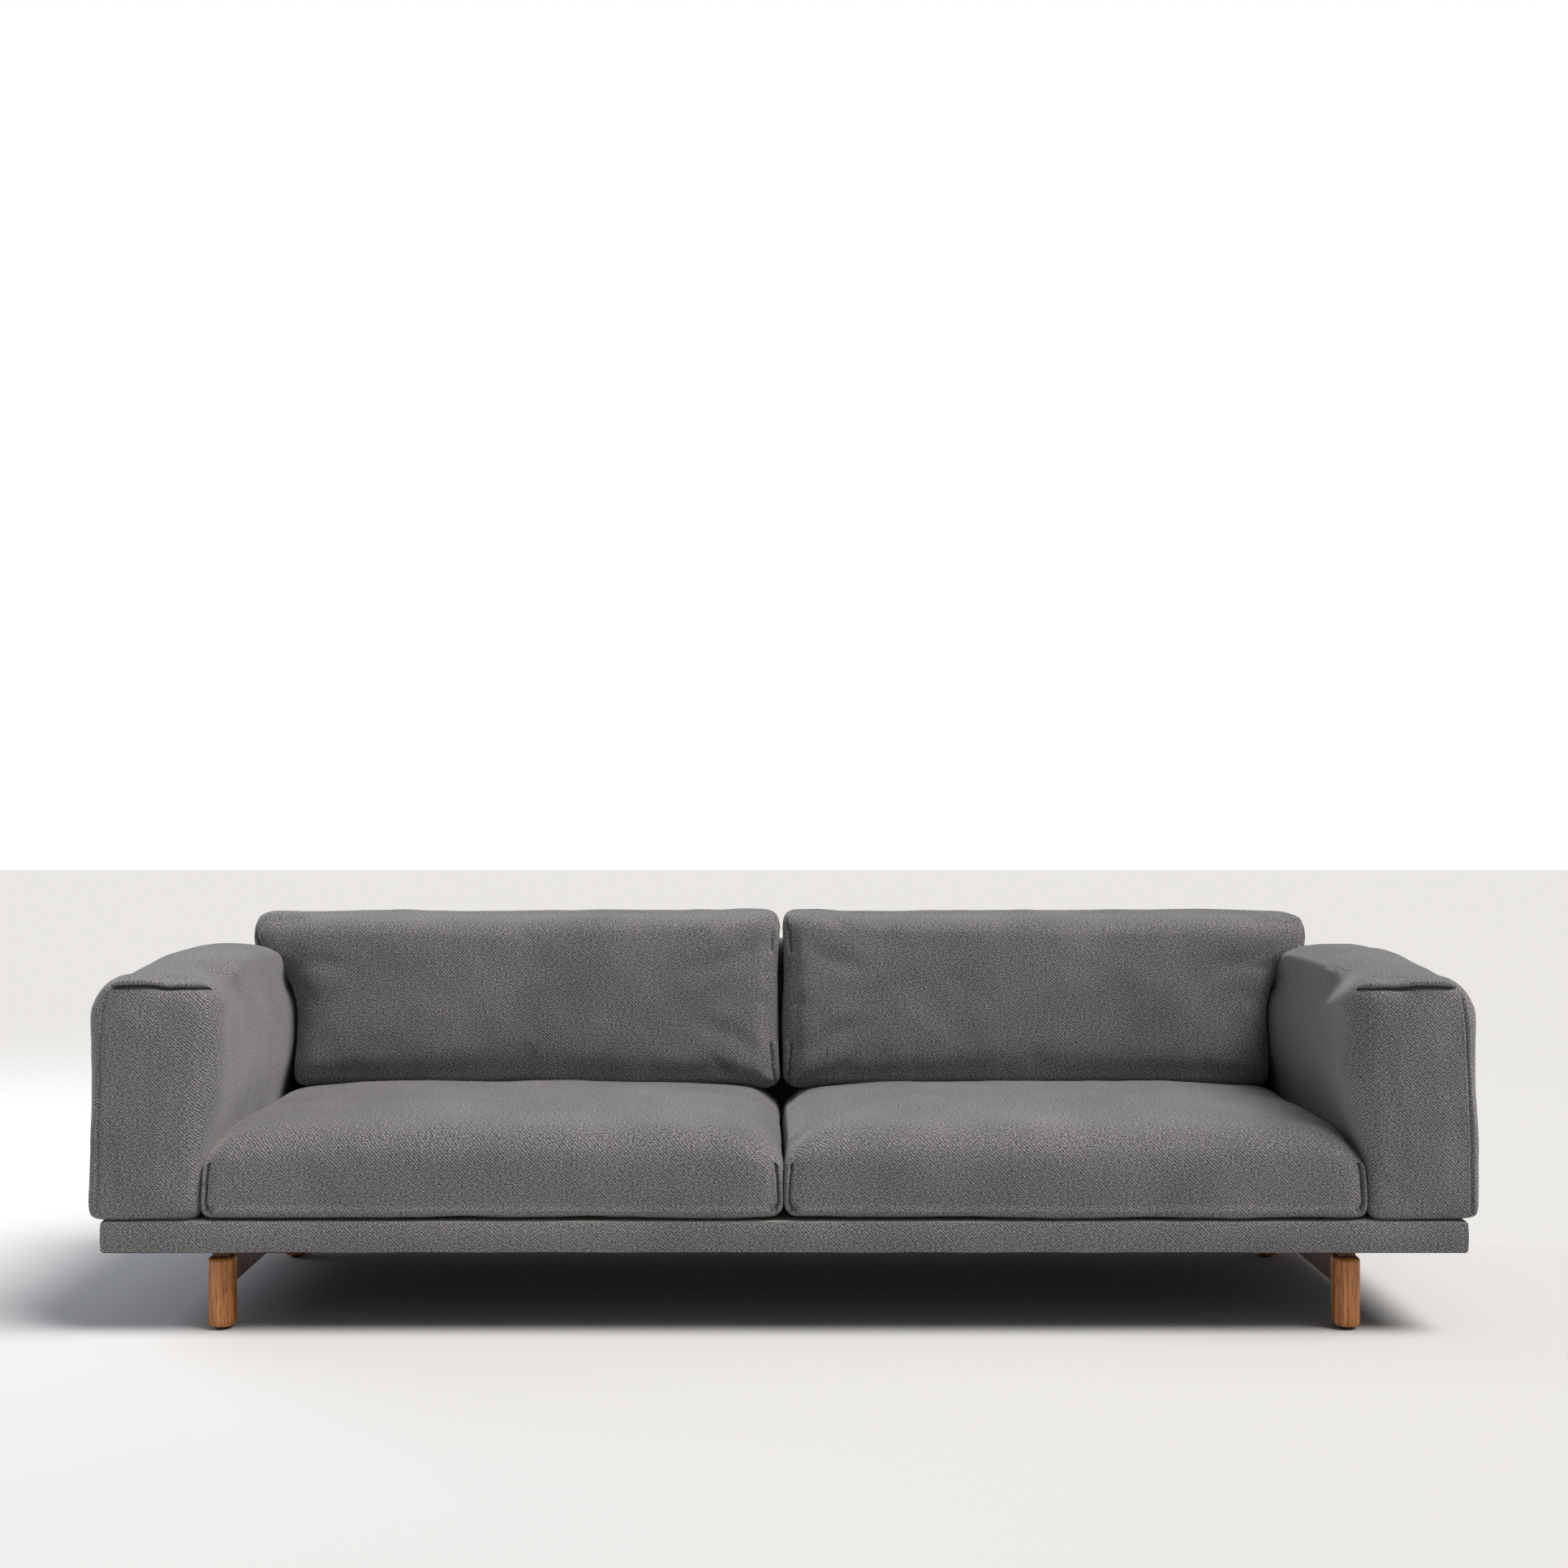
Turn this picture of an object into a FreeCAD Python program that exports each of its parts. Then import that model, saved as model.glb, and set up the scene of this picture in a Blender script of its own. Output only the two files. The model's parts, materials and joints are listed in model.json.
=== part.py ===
import FreeCAD, Part
import os
import Sketcher

# Three-seat sofa on an oak underframe: a slim upholstered base, two padded arms, a padded back
# between them, two loose seat cushions and two loose back cushions that stand on them.
# Frame: +X to the right as seen from the front, +Y to the back, +Z up.
# The origin is on the floor, at the middle of the sofa's width and depth.

os.makedirs("parts", exist_ok=True)
doc = FreeCAD.newDocument("sofa")

SIZES = {
    # whole sofa
    "overall_width": 2600,
    "overall_depth": 925,
    "overall_height": 762,
    # upholstered base
    "base_clearance": 152,
    "base_height": 60,
    "base_inset": 20,
    "base_round": 7,
    "base_padding": 3,
    # arms, heights from the base's top
    "arm_width": 205,
    "arm_height": 478,
    "arm_foot_taper": 8,
    "arm_side_taper": 4,
    "arm_swell": 35,
    "arm_swell_start": 30.5,
    "arm_outer_round": 80,
    "arm_inner_round": 100,
    "arm_crown": 4,
    "arm_padding": 25,
    "arm_top_padding": 60,
    # back, height from the base's top
    "back_height": 478,
    "back_foot_depth": 172,
    "back_rake": 10,
    "back_padding": 25,
    # upholstery
    "cover_thickness": 1.5,
    "deck_foam_thickness": 8,
    "webbing_thickness": 2,
    "webbing_width": 50,
    "dust_cloth_thickness": 1.2,
    # loose seat cushions
    "seat_side_height": 163,
    "seat_crown": 22,
    "seat_top_round": 50,
    "seat_bottom_round": 12,
    "seat_front_round": 10,
    # loose back cushions
    "back_cushion_thickness": 180,
    "back_cushion_flare": 8,
    "back_cushion_corner": 40,
    "back_cushion_crown": 70,
    # zips
    "zip_width": 12,
    "zip_end_margin": 60,
    "zip_rise": 30,
    # clearances
    "fit_gap": 0.3,
    "rest_gap": 0.5,
    "cushion_gap": 2,
    # oak underframe
    "leg_width": 50,
    "leg_depth": 62,
    "leg_corner_round": 22,
    "leg_end_round": 9,
    "leg_top": 137,
    "leg_front_wall": 14,
    "leg_spread": 2128,
    "leg_spacing": 665,
    "front_leg_inset": 30,
    "side_rail_thickness": 30,
    "side_rail_height": 73,
    "glide_height": 5,
    "glide_radius": 14,
    "glide_pin_radius": 2.5,
    "glide_pin_length": 18,
    # hidden timber
    "board_thickness": 28,
    "deck_rail_width": 70,
    "corner_block_side": 60,
    "arm_panel_thickness": 4,
    # fasteners
    "dowel_radius": 5,
    "dowel_bite": 5,
    "dowel_first_height": 17,
    "dowel_step": 25,
    "bolt_radius": 4,
    "bolt_head_radius": 8,
    "bolt_head_height": 5,
    "counterbore_depth": 38,
    "deck_counterbore_depth": 10,
    "insert_radius": 6,
    "insert_length": 20,
    "bolt_end_margin": 120,
    # how far a cutting tool runs past the face it opens
    "tool_margin": 10,
}

PLACES = {
    "half_width": "Sizes.overall_width / 2",
    "half_depth": "Sizes.overall_depth / 2",
    "skin": "Sizes.cover_thickness + Sizes.fit_gap",
    "diagonal": "sqrt(0.5)",
    # levels of the base, from the floor up
    "deck_rail_low": "Sizes.base_clearance + Sizes.dust_cloth_thickness + Sizes.fit_gap",
    "base_top": "Sizes.base_clearance + Sizes.base_height",
    "deck_foam_top": "base_top - skin",
    "deck_foam_low": "deck_foam_top - Sizes.deck_foam_thickness",
    "deck_rail_top": "deck_foam_low - Sizes.webbing_thickness",
    "base_end": "half_width - Sizes.base_inset",
    "deck_end": "base_end - Sizes.cover_thickness - Sizes.base_padding",
    "deck_front": "half_depth - Sizes.cover_thickness - Sizes.base_padding",
    "deck_foam_end": "deck_end - Sizes.base_round",
    "deck_foam_front": "deck_front - Sizes.base_round",
    # arms
    "arm_foot": "half_width - Sizes.arm_width",
    "arm_inner": "arm_foot - Sizes.arm_swell",
    "arm_side": "half_width - Sizes.arm_side_taper",
    "arm_top": "base_top + Sizes.arm_height",
    "arm_edge_top": "arm_top - Sizes.arm_crown",
    "arm_outer_shoulder": "arm_edge_top - Sizes.arm_outer_round",
    "arm_inner_shoulder": "arm_edge_top - Sizes.arm_inner_round",
    "seat_low": "base_top + Sizes.rest_gap",
    "seat_side_top": "seat_low + Sizes.seat_side_height",
    "arm_swell_low": "seat_side_top - Sizes.arm_swell_start",
    "arm_shoulder_x": "arm_inner + Sizes.arm_inner_round",
    "arm_frame_inner": "arm_foot + Sizes.arm_padding",
    "arm_frame_outer": "half_width - Sizes.arm_foot_taper - Sizes.arm_padding",
    "arm_frame_top": "arm_top - Sizes.arm_top_padding",
    "arm_frame_front": "half_depth - Sizes.arm_padding",
    "arm_board_inner": "arm_frame_inner + Sizes.arm_panel_thickness",
    "arm_board_width": "arm_frame_outer - arm_frame_inner - 2 * Sizes.arm_panel_thickness",
    # back
    "rake_slope": "tan(Sizes.back_rake)",
    "back_top": "base_top + Sizes.back_height",
    "back_front_foot": "half_depth - Sizes.back_foot_depth",
    "back_front_top": "back_front_foot + Sizes.back_height * rake_slope",
    "back_frame_front_foot": "back_front_foot + Sizes.back_padding",
    "back_frame_rear": "half_depth - Sizes.back_padding",
    "back_frame_top": "back_top - Sizes.back_padding",
    "back_post_low": "base_top + Sizes.board_thickness",
    "back_post_top": "back_frame_top - Sizes.board_thickness",
    "back_frame_end": "arm_inner - Sizes.back_padding",
    # seat cushions
    "seat_inner": "Sizes.cushion_gap",
    "seat_outer": "arm_foot - Sizes.cushion_gap",
    "seat_middle": "(seat_inner + seat_outer) / 2",
    "seat_top": "seat_side_top + Sizes.seat_crown",
    "seat_rear": "back_front_foot - Sizes.cushion_gap",
    "seat_length": "seat_rear + half_depth",
    # back cushions, which stand on the seat cushions and lean on the back
    "back_cushion_low": "seat_side_top + Sizes.cushion_gap",
    "back_cushion_edge": "Sizes.overall_height - Sizes.back_cushion_crown",
    "back_cushion_flare_x": "arm_shoulder_x + Sizes.back_cushion_flare",
    "back_cushion_outer": "arm_inner - Sizes.cushion_gap",
    "flank_round": "Sizes.arm_inner_round + 2 * Sizes.cushion_gap",
    # underframe
    "leg_x": "Sizes.leg_spread / 2",
    "front_leg_y": "Sizes.front_leg_inset + Sizes.leg_depth / 2 - half_depth",
    "rear_leg_y": "front_leg_y + Sizes.leg_spacing",
    "legs_middle_y": "front_leg_y + Sizes.leg_spacing / 2",
    "side_rail_low": "Sizes.base_clearance - Sizes.side_rail_height",
    "side_rail_end": "Sizes.leg_depth / 2 - Sizes.leg_front_wall - Sizes.fit_gap",
    "side_rail_length": "Sizes.leg_spacing + 2 * side_rail_end",
    "dowel_y": "front_leg_y + Sizes.leg_front_wall / 2",
    "dowel_hole_radius": "Sizes.dowel_radius + Sizes.fit_gap",
    "bolt_hole_radius": "Sizes.bolt_radius + Sizes.fit_gap",
    "head_hole_radius": "Sizes.bolt_head_radius + Sizes.fit_gap",
    "insert_hole_radius": "Sizes.insert_radius + Sizes.fit_gap",
    "base_bolt_head": "side_rail_low + Sizes.counterbore_depth",
    "base_bolt_top": "deck_rail_low + Sizes.insert_length",
    "frame_bolt_head": "deck_rail_low + Sizes.deck_counterbore_depth",
    "frame_bolt_top": "base_top + Sizes.insert_length",
    "arm_bolt_x": "deck_end - Sizes.deck_rail_width / 2",
    "back_bolt_y": "deck_front - Sizes.deck_rail_width / 2",
}

DECK_STRAPS = 12
BACK_STRAPS = 4
X_AXIS = FreeCAD.Vector(1, 0, 0)
Y_AXIS = FreeCAD.Vector(0, 1, 0)
ACROSS = FreeCAD.Rotation(Y_AXIS, 90)
nodes = []


def write_sheet(name, rows, lead):
    """A spreadsheet with one named cell for each row."""
    sheet = doc.addObject("Spreadsheet::Sheet", name)
    for row, (alias, content) in enumerate(rows.items(), start=1):
        sheet.set(f"A{row}", alias)
        sheet.set(f"B{row}", lead + str(content))
        sheet.setAlias(f"B{row}", alias)
    doc.recompute()
    return sheet


sizes = write_sheet("Sizes", SIZES, "")
places = write_sheet("Places", PLACES, "=")


def number(formula):
    """What a formula of the sheets comes to."""
    return float(sizes.evalExpression(formula))


def bind(item, formulas):
    """Tie properties of an object to formulas of the sheets."""
    for name, formula in formulas.items():
        item.setExpression(name, formula)
    return item


def keep(item, label):
    """Name a finished sub-part, which is written to its own file."""
    item.Label = label
    nodes.append(item)
    return item


def box(name, low, high):
    """Rectangular piece between two corners, each three formulas."""
    item = doc.addObject("Part::Box", name)
    for side, axis, start, end in zip(("Length", "Width", "Height"), "xyz", low, high):
        bind(item, {side: f"({end}) - ({start})", f"Placement.Base.{axis}": start})
    return item


def upright(name, radius, x, y, low, high):
    """Round piece standing on its end."""
    item = doc.addObject("Part::Cylinder", name)
    return bind(item, {
        "Radius": radius,
        "Height": f"({high}) - ({low})",
        "Placement.Base.x": x,
        "Placement.Base.y": y,
        "Placement.Base.z": low,
    })


def crosswise(name, radius, half_length, x, y, z):
    """Round piece lying along X, with its middle at x."""
    item = doc.addObject("Part::Cylinder", name)
    item.Placement = FreeCAD.Placement(FreeCAD.Vector(), ACROSS)
    return bind(item, {
        "Radius": radius,
        "Height": f"2 * ({half_length})",
        "Placement.Base.x": f"{x} - ({half_length})",
        "Placement.Base.y": y,
        "Placement.Base.z": z,
    })


def group(name, items):
    """Separate solids held as one object."""
    item = doc.addObject("Part::Compound", name)
    item.Links = items
    return item


def fuse(name, items):
    item = doc.addObject("Part::MultiFuse", name)
    item.Shapes = items
    return item


def cut(name, base, tool):
    item = doc.addObject("Part::Cut", name)
    item.Base = base
    item.Tool = tool
    return item


def mirrored(name, source, normal=X_AXIS):
    """Copy on the other side of the sofa's middle plane."""
    item = doc.addObject("Part::Mirroring", name)
    item.Source = source
    item.Normal = normal
    return item


def mirrored_pair(item, label):
    """A right-hand piece and its left-hand twin."""
    keep(item, label + "_right")
    return keep(mirrored(label + "_mirror", item), label + "_left")


def corner(across, up):
    return across, up, False


def via(across, up):
    return across, up, True


def draw_outline(sketch, points):
    """Closed outline through the corners, with an arc wherever a via point stands between two."""
    spots = [FreeCAD.Vector(number(across), number(up), 0) for across, up, _ in points]
    runs = []
    index = 0
    while index < len(points):
        after = (index + 1) % len(points)
        if points[after][2]:
            end = (index + 2) % len(points)
            turn = (spots[after] - spots[index]).cross(spots[end] - spots[after]).z
            ends = (index, end) if turn > 0 else (end, index)
            arc = Part.Arc(spots[ends[0]], spots[after], spots[ends[1]])
            runs.append((sketch.addGeometry(arc, False), *((1, 2) if turn > 0 else (2, 1))))
            mark = sketch.addGeometry(Part.Point(spots[after]), True)
            pin(sketch, mark, 1, points[after])
            sketch.addConstraint(Sketcher.Constraint("PointOnObject", mark, 1, runs[-1][0]))
            pin(sketch, runs[-1][0], runs[-1][1], points[index])
            index += 2
        else:
            line = Part.LineSegment(spots[index], spots[after])
            runs.append((sketch.addGeometry(line, False), 1, 2))
            pin(sketch, runs[-1][0], 1, points[index])
            index += 1
    for run, following in zip(runs, runs[1:] + runs[:1]):
        joint = Sketcher.Constraint("Coincident", run[0], run[2], following[0], following[1])
        sketch.addConstraint(joint)


def pin(sketch, shape, end, point):
    """Hold one end of a sketch line or arc at a place given by two formulas."""
    for kind, formula in zip(("DistanceX", "DistanceY"), point[:2]):
        limit = Sketcher.Constraint(kind, -1, 1, shape, end, number(formula))
        index = sketch.addConstraint(limit)
        sketch.setExpression(f"Constraints[{index}]", formula)


def outline_body(name, plane, points, length, centre):
    """Solid of one outline, carried the same way to both sides of its middle plane."""
    body = doc.addObject("PartDesign::Body", name)
    sketch = body.newObject("Sketcher::SketchObject", name + "_outline")
    support = [item for item in body.Origin.OriginFeatures if item.Role == plane + "_Plane"]
    sketch.AttachmentSupport = [(support[0], "")]
    sketch.MapMode = "FlatFace"
    draw_outline(sketch, points)
    pad = body.newObject("PartDesign::Pad", name + "_pad")
    pad.Profile = sketch
    pad.SideType = "Symmetric"
    pad.setExpression("Length", length)
    axis = {"XZ": "y", "YZ": "x", "XY": "z"}[plane]
    body.setExpression(f"Placement.Base.{axis}", centre)
    return body


def round_edges(body, radius, chosen):
    """Round those edges of a body that the test picks by their middle point."""
    doc.recompute()
    tip = body.Tip
    edges = enumerate(tip.Shape.Edges, start=1)
    names = [f"Edge{index}" for index, edge in edges if chosen(edge.CenterOfMass)]
    fillet = body.newObject("PartDesign::Fillet", body.Name + "_round")
    fillet.Base = (tip, names)
    fillet.setExpression("Radius", radius)


# ---------------------------------------------------------------- oak underframe

def leg_blank(name):
    """Upright post of rounded oval section, with softened ends."""
    half_x = "Sizes.leg_width / 2"
    half_y = "Sizes.leg_depth / 2"
    outline = [
        corner(f"Places.leg_x - {half_x}", f"Places.front_leg_y - {half_y}"),
        corner(f"Places.leg_x + {half_x}", f"Places.front_leg_y - {half_y}"),
        corner(f"Places.leg_x + {half_x}", f"Places.front_leg_y + {half_y}"),
        corner(f"Places.leg_x - {half_x}", f"Places.front_leg_y + {half_y}"),
    ]
    height = "Sizes.leg_top - Sizes.glide_height"
    body = outline_body(name, "XY", outline, height, "(Sizes.leg_top + Sizes.glide_height) / 2")
    half_height = number(height) / 2
    round_edges(body, "Sizes.leg_corner_round", lambda spot: abs(spot.z) < half_height / 2)
    round_edges(body, "Sizes.leg_end_round", lambda spot: abs(spot.z) > half_height - 0.01)
    return body


def dowels(name, radius, half_length):
    """Two dowels, one above the other, across the front right leg."""
    first = "Places.side_rail_low + Sizes.dowel_first_height"
    return [
        crosswise(f"{name}_{index}", radius, half_length, "Places.leg_x", "Places.dowel_y",
                  f"{first} + {index} * Sizes.dowel_step")
        for index in range(2)
    ]


def at_rear_leg(name, source):
    """The same piece on the rear leg, turned about the middle between the legs."""
    return bind(mirrored(name, source, Y_AXIS), {"Base.y": "Places.legs_middle_y"})


def glide(name, x, y):
    """Nylon glide with its pin, which is driven into the foot of a leg."""
    pin_top = "Sizes.glide_height + Sizes.glide_pin_length"
    disc = upright(name + "_disc", "Sizes.glide_radius", x, y, "0", "Sizes.glide_height")
    pin_part = upright(name + "_pin", "Sizes.glide_pin_radius", x, y, "0", pin_top)
    return fuse(name, [disc, pin_part])


def underframe():
    half_bite = "Sizes.side_rail_thickness / 2 + Sizes.dowel_bite"
    holes = dowels("leg_dowel_hole", "Places.dowel_hole_radius", f"{half_bite} + Sizes.fit_gap")
    slot_side = "Sizes.side_rail_thickness / 2 + Sizes.fit_gap"
    slot_front = "Places.front_leg_y - Sizes.leg_depth / 2 + Sizes.leg_front_wall"
    slot_rear = "Places.front_leg_y + Sizes.leg_depth / 2 + Sizes.tool_margin"
    slot = box(
        "leg_slot",
        (f"Places.leg_x - ({slot_side})", slot_front, "Places.side_rail_low - Sizes.fit_gap"),
        (f"Places.leg_x + ({slot_side})", slot_rear, "Sizes.leg_top + Sizes.tool_margin"),
    )
    pin_hole = upright(
        "glide_hole", "Sizes.glide_pin_radius + Sizes.fit_gap", "Places.leg_x", "Places.front_leg_y",
        "0", "Sizes.glide_height + Sizes.glide_pin_length + Sizes.fit_gap",
    )
    tools = fuse("leg_tools", [slot, pin_hole, *holes])
    front_leg = cut("leg_cut", leg_blank("leg_blank"), tools)
    rear_leg = at_rear_leg("rear_leg_mirror", front_leg)
    mirrored_pair(front_leg, "front_leg")
    mirrored_pair(rear_leg, "rear_leg")

    rail_side = "Sizes.side_rail_thickness / 2"
    rail = box(
        "side_rail_board",
        (f"Places.leg_x - {rail_side}", "Places.front_leg_y - Places.side_rail_end",
         "Places.side_rail_low"),
        (f"Places.leg_x + {rail_side}", "Places.rear_leg_y + Places.side_rail_end",
         "Sizes.base_clearance"),
    )
    rear_holes = [at_rear_leg(f"rear_dowel_hole_{index}", hole) for index, hole in enumerate(holes)]
    bolt_holes = [
        shape
        for index, y in enumerate(BASE_BOLT_ROWS)
        for shape in (
            upright(f"rail_hole_{index}", "Places.bolt_hole_radius", "Places.leg_x", y,
                    "Places.side_rail_low", "Sizes.base_clearance + Sizes.tool_margin"),
            upright(f"rail_counterbore_{index}", "Places.head_hole_radius", "Places.leg_x", y,
                    "Places.side_rail_low - Sizes.tool_margin",
                    "Places.base_bolt_head + Sizes.bolt_head_height"),
        )
    ]
    rail_tools = fuse("side_rail_tools", [*holes, *rear_holes, *bolt_holes])
    mirrored_pair(cut("side_rail_cut", rail, rail_tools), "side_rail")

    pins = dowels("leg_dowel", "Sizes.dowel_radius", half_bite)
    pins += [at_rear_leg(f"rear_dowel_{index}", item) for index, item in enumerate(pins)]
    pins += [mirrored(f"left_dowel_{index}", item) for index, item in enumerate(pins)]
    keep(group("dowel_group", pins), "leg_dowels")

    glides = [
        glide(f"glide_{side}_{row}", f"{sign} * Places.leg_x", y)
        for side, sign in enumerate((-1, 1))
        for row, y in enumerate(("Places.front_leg_y", "Places.rear_leg_y"))
    ]
    keep(group("glide_group", glides), "leg_glides")


# ---------------------------------------------------------------- bolts

def bolt(name, x, y, head_low, top):
    """Bolt standing head down."""
    head_top = f"{head_low} + Sizes.bolt_head_height"
    head = upright(name + "_head", "Sizes.bolt_head_radius", x, y, head_low, head_top)
    shank = upright(name + "_shank", "Sizes.bolt_radius", x, y, head_low, top)
    return fuse(name, [head, shank])


def threaded_insert(name, x, y, low, top):
    """Brass sleeve let into a rail for a bolt to turn into."""
    outside = upright(name + "_outside", "Sizes.insert_radius", x, y, low, top)
    bore = upright(name + "_bore", "Places.bolt_hole_radius", x, y,
                   f"{low} - Sizes.tool_margin", f"{top} + Sizes.tool_margin")
    return cut(name, outside, bore)


BASE_BOLT_ROWS = (
    "Places.front_leg_y + Sizes.bolt_end_margin",
    "Places.legs_middle_y",
    "Places.rear_leg_y - Sizes.bolt_end_margin",
)
ARM_BOLT_ROWS = (
    "Sizes.bolt_end_margin - Places.half_depth",
    "0",
    "Places.half_depth - 2 * Sizes.bolt_end_margin",
)
BACK_BOLT_COLUMNS = (
    "-2 / 3 * Places.back_frame_end",
    "-1 / 4 * Places.back_frame_end",
    "1 / 4 * Places.back_frame_end",
    "2 / 3 * Places.back_frame_end",
)


def frame_bolt_places():
    """Where bolts stand that hold the arms and the back down on the base."""
    arms = [(f"{sign} * Places.arm_bolt_x", y) for sign in (-1, 1) for y in ARM_BOLT_ROWS]
    back = [(x, "Places.back_bolt_y") for x in BACK_BOLT_COLUMNS]
    return arms, back


def frame_drills(name, radius, low, high, spots):
    """Holes of one size at the bolts' places."""
    drills = [upright(f"{name}_{index}", radius, x, y, low, high)
              for index, (x, y) in enumerate(spots)]
    return fuse(name, drills)


def bolts():
    base_bolts = []
    inserts = []
    for side in (-1, 1):
        for row, y in enumerate(BASE_BOLT_ROWS):
            x = f"{side} * Places.leg_x"
            tag = f"{'left' if side < 0 else 'right'}_{row}"
            base_bolts.append(bolt("base_bolt_" + tag, x, y, "Places.base_bolt_head",
                                   "Places.base_bolt_top"))
            inserts.append(threaded_insert("insert_" + tag, x, y, "Places.deck_rail_low",
                                           "Places.base_bolt_top"))
    keep(group("base_bolt_group", base_bolts), "base_bolts")
    keep(group("insert_group", inserts), "threaded_inserts")
    for label, spots in zip(("arm_bolts", "back_bolts"), frame_bolt_places()):
        items = [bolt(f"{label}_{index}", x, y, "Places.frame_bolt_head", "Places.frame_bolt_top")
                 for index, (x, y) in enumerate(spots)]
        keep(group(label + "_group", items), label)


# ---------------------------------------------------------------- base

def base_drills():
    """Every hole that the deck's boards need: shanks, sunk heads and threaded inserts."""
    arms, back = frame_bolt_places()
    spots = arms + back
    low = "Sizes.base_clearance - Sizes.tool_margin"
    shanks = frame_drills("deck_shank_holes", "Places.bolt_hole_radius", low,
                          "Places.base_top + Sizes.tool_margin", spots)
    heads = frame_drills("deck_head_holes", "Places.head_hole_radius", low,
                         "Places.frame_bolt_head + Sizes.bolt_head_height + Sizes.fit_gap", spots)
    legs = [(f"{side} * Places.leg_x", y) for side in (-1, 1) for y in BASE_BOLT_ROWS]
    inserts = frame_drills("deck_insert_holes", "Places.insert_hole_radius", low,
                           "Places.base_bolt_top + Sizes.fit_gap", legs)
    return shanks, heads, inserts


def base_form(name, inset, low):
    """Slim block of the base with softened corners and top edges."""
    end = f"(Places.base_end - {inset})"
    front = f"(Places.half_depth - {inset})"
    outline = [
        corner(f"-{end}", f"-{front}"),
        corner(end, f"-{front}"),
        corner(end, front),
        corner(f"-{end}", front),
    ]
    top = f"(Places.base_top - {inset})"
    body = outline_body(name, "XY", outline, f"{top} - {low}", f"({top} + {low}) / 2")
    bottom = number(f"({low} - {top}) / 2")
    round_edges(body, f"Sizes.base_round - {inset}", lambda spot: spot.z > bottom + 1)
    return body


def base_cover():
    """Fabric drawn over the top and all four sides of the base, open underneath."""
    below = "(Sizes.base_clearance - Sizes.tool_margin)"
    return cut("base_shell", base_form("base_outside", "0", "Sizes.base_clearance"),
               base_form("base_cavity", "Sizes.cover_thickness", below))


def deck_board(name, low, high):
    """Board of the deck frame between two corners in plan."""
    return box(name, (*low, "Places.deck_rail_low"), (*high, "Places.deck_rail_top"))


def corner_block(name, side_x, side_y):
    """Three-cornered block glued into a corner of the deck frame."""
    x = f"{side_x} * (Places.deck_end - Sizes.deck_rail_width)"
    y = f"{side_y} * (Places.deck_front - Sizes.deck_rail_width)"
    points = [
        corner(x, y),
        corner(f"{x} - ({side_x}) * Sizes.corner_block_side", y),
        corner(x, f"{y} - ({side_y}) * Sizes.corner_block_side"),
    ]
    height = "Places.deck_rail_top - Places.deck_rail_low"
    middle = "(Places.deck_rail_top + Places.deck_rail_low) / 2"
    return outline_body(name, "XY", points, height, middle)


def base():
    shanks, heads, inserts = base_drills()
    frame_holes = fuse("deck_frame_holes", [shanks, heads])
    end = "Places.deck_end"
    front = "Places.deck_front"
    wide = "Sizes.deck_rail_width"
    front_rail = deck_board("front_rail", (f"-{end}", f"-{front}"), (end, f"{wide} - {front}"))
    keep(front_rail, "base_front_rail")
    rear_rail = deck_board("rear_rail", (f"-{end}", f"{front} - {wide}"), (end, front))
    keep(cut("rear_rail_drilled", rear_rail, frame_holes), "base_rear_rail")
    inside = (f"{wide} - {front}", f"{front} - {wide}")
    end_rail = deck_board("end_rail", (f"{end} - {wide}", inside[0]), (end, inside[1]))
    mirrored_pair(cut("end_rail_drilled", end_rail, frame_holes), "base_end_rail")
    leg_rail = deck_board("leg_rail", (f"Places.leg_x - {wide} / 2", inside[0]),
                          (f"Places.leg_x + {wide} / 2", inside[1]))
    mirrored_pair(cut("leg_rail_drilled", leg_rail, inserts), "base_leg_rail")
    centre_rail = deck_board("centre_rail", (f"-{wide} / 2", inside[0]), (f"{wide} / 2", inside[1]))
    keep(centre_rail, "base_centre_rail")
    blocks = [corner_block(f"corner_block_{x}_{y}".replace("-", "n"), x, y)
              for x in (-1, 1) for y in (-1, 1)]
    keep(group("corner_block_group", blocks), "base_corner_blocks")

    straps = []
    for index in range(DECK_STRAPS):
        share = f"{(2 * index + 1) / DECK_STRAPS - 1:.4f}"
        middle = f"{share} * (Places.deck_end - Sizes.deck_rail_width)"
        straps.append(box(
            f"deck_strap_{index}",
            (f"{middle} - Sizes.webbing_width / 2", "-Places.deck_front", "Places.deck_rail_top"),
            (f"{middle} + Sizes.webbing_width / 2", "Places.deck_front - Sizes.deck_rail_width / 4",
             "Places.deck_foam_low"),
        ))
    webbing = group("deck_strap_group", straps)
    keep(cut("deck_straps_drilled", webbing, shanks), "deck_webbing")

    foam = box("deck_foam_sheet",
               ("-Places.deck_foam_end", "-Places.deck_foam_front", "Places.deck_foam_low"),
               ("Places.deck_foam_end", "Places.deck_foam_front", "Places.deck_foam_top"))
    keep(cut("deck_foam_drilled", foam, shanks), "deck_foam")
    keep(cut("base_cover_drilled", base_cover(), shanks), "base_cover")
    cloth = box("dust_sheet", (f"-{end}", f"-{front}", "Sizes.base_clearance"),
                (end, front, "Sizes.base_clearance + Sizes.dust_cloth_thickness"))
    cloth_holes = fuse("dust_cloth_holes", [heads, inserts])
    keep(cut("dust_sheet_drilled", cloth, cloth_holes), "dust_cloth")


# ---------------------------------------------------------------- arms

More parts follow.
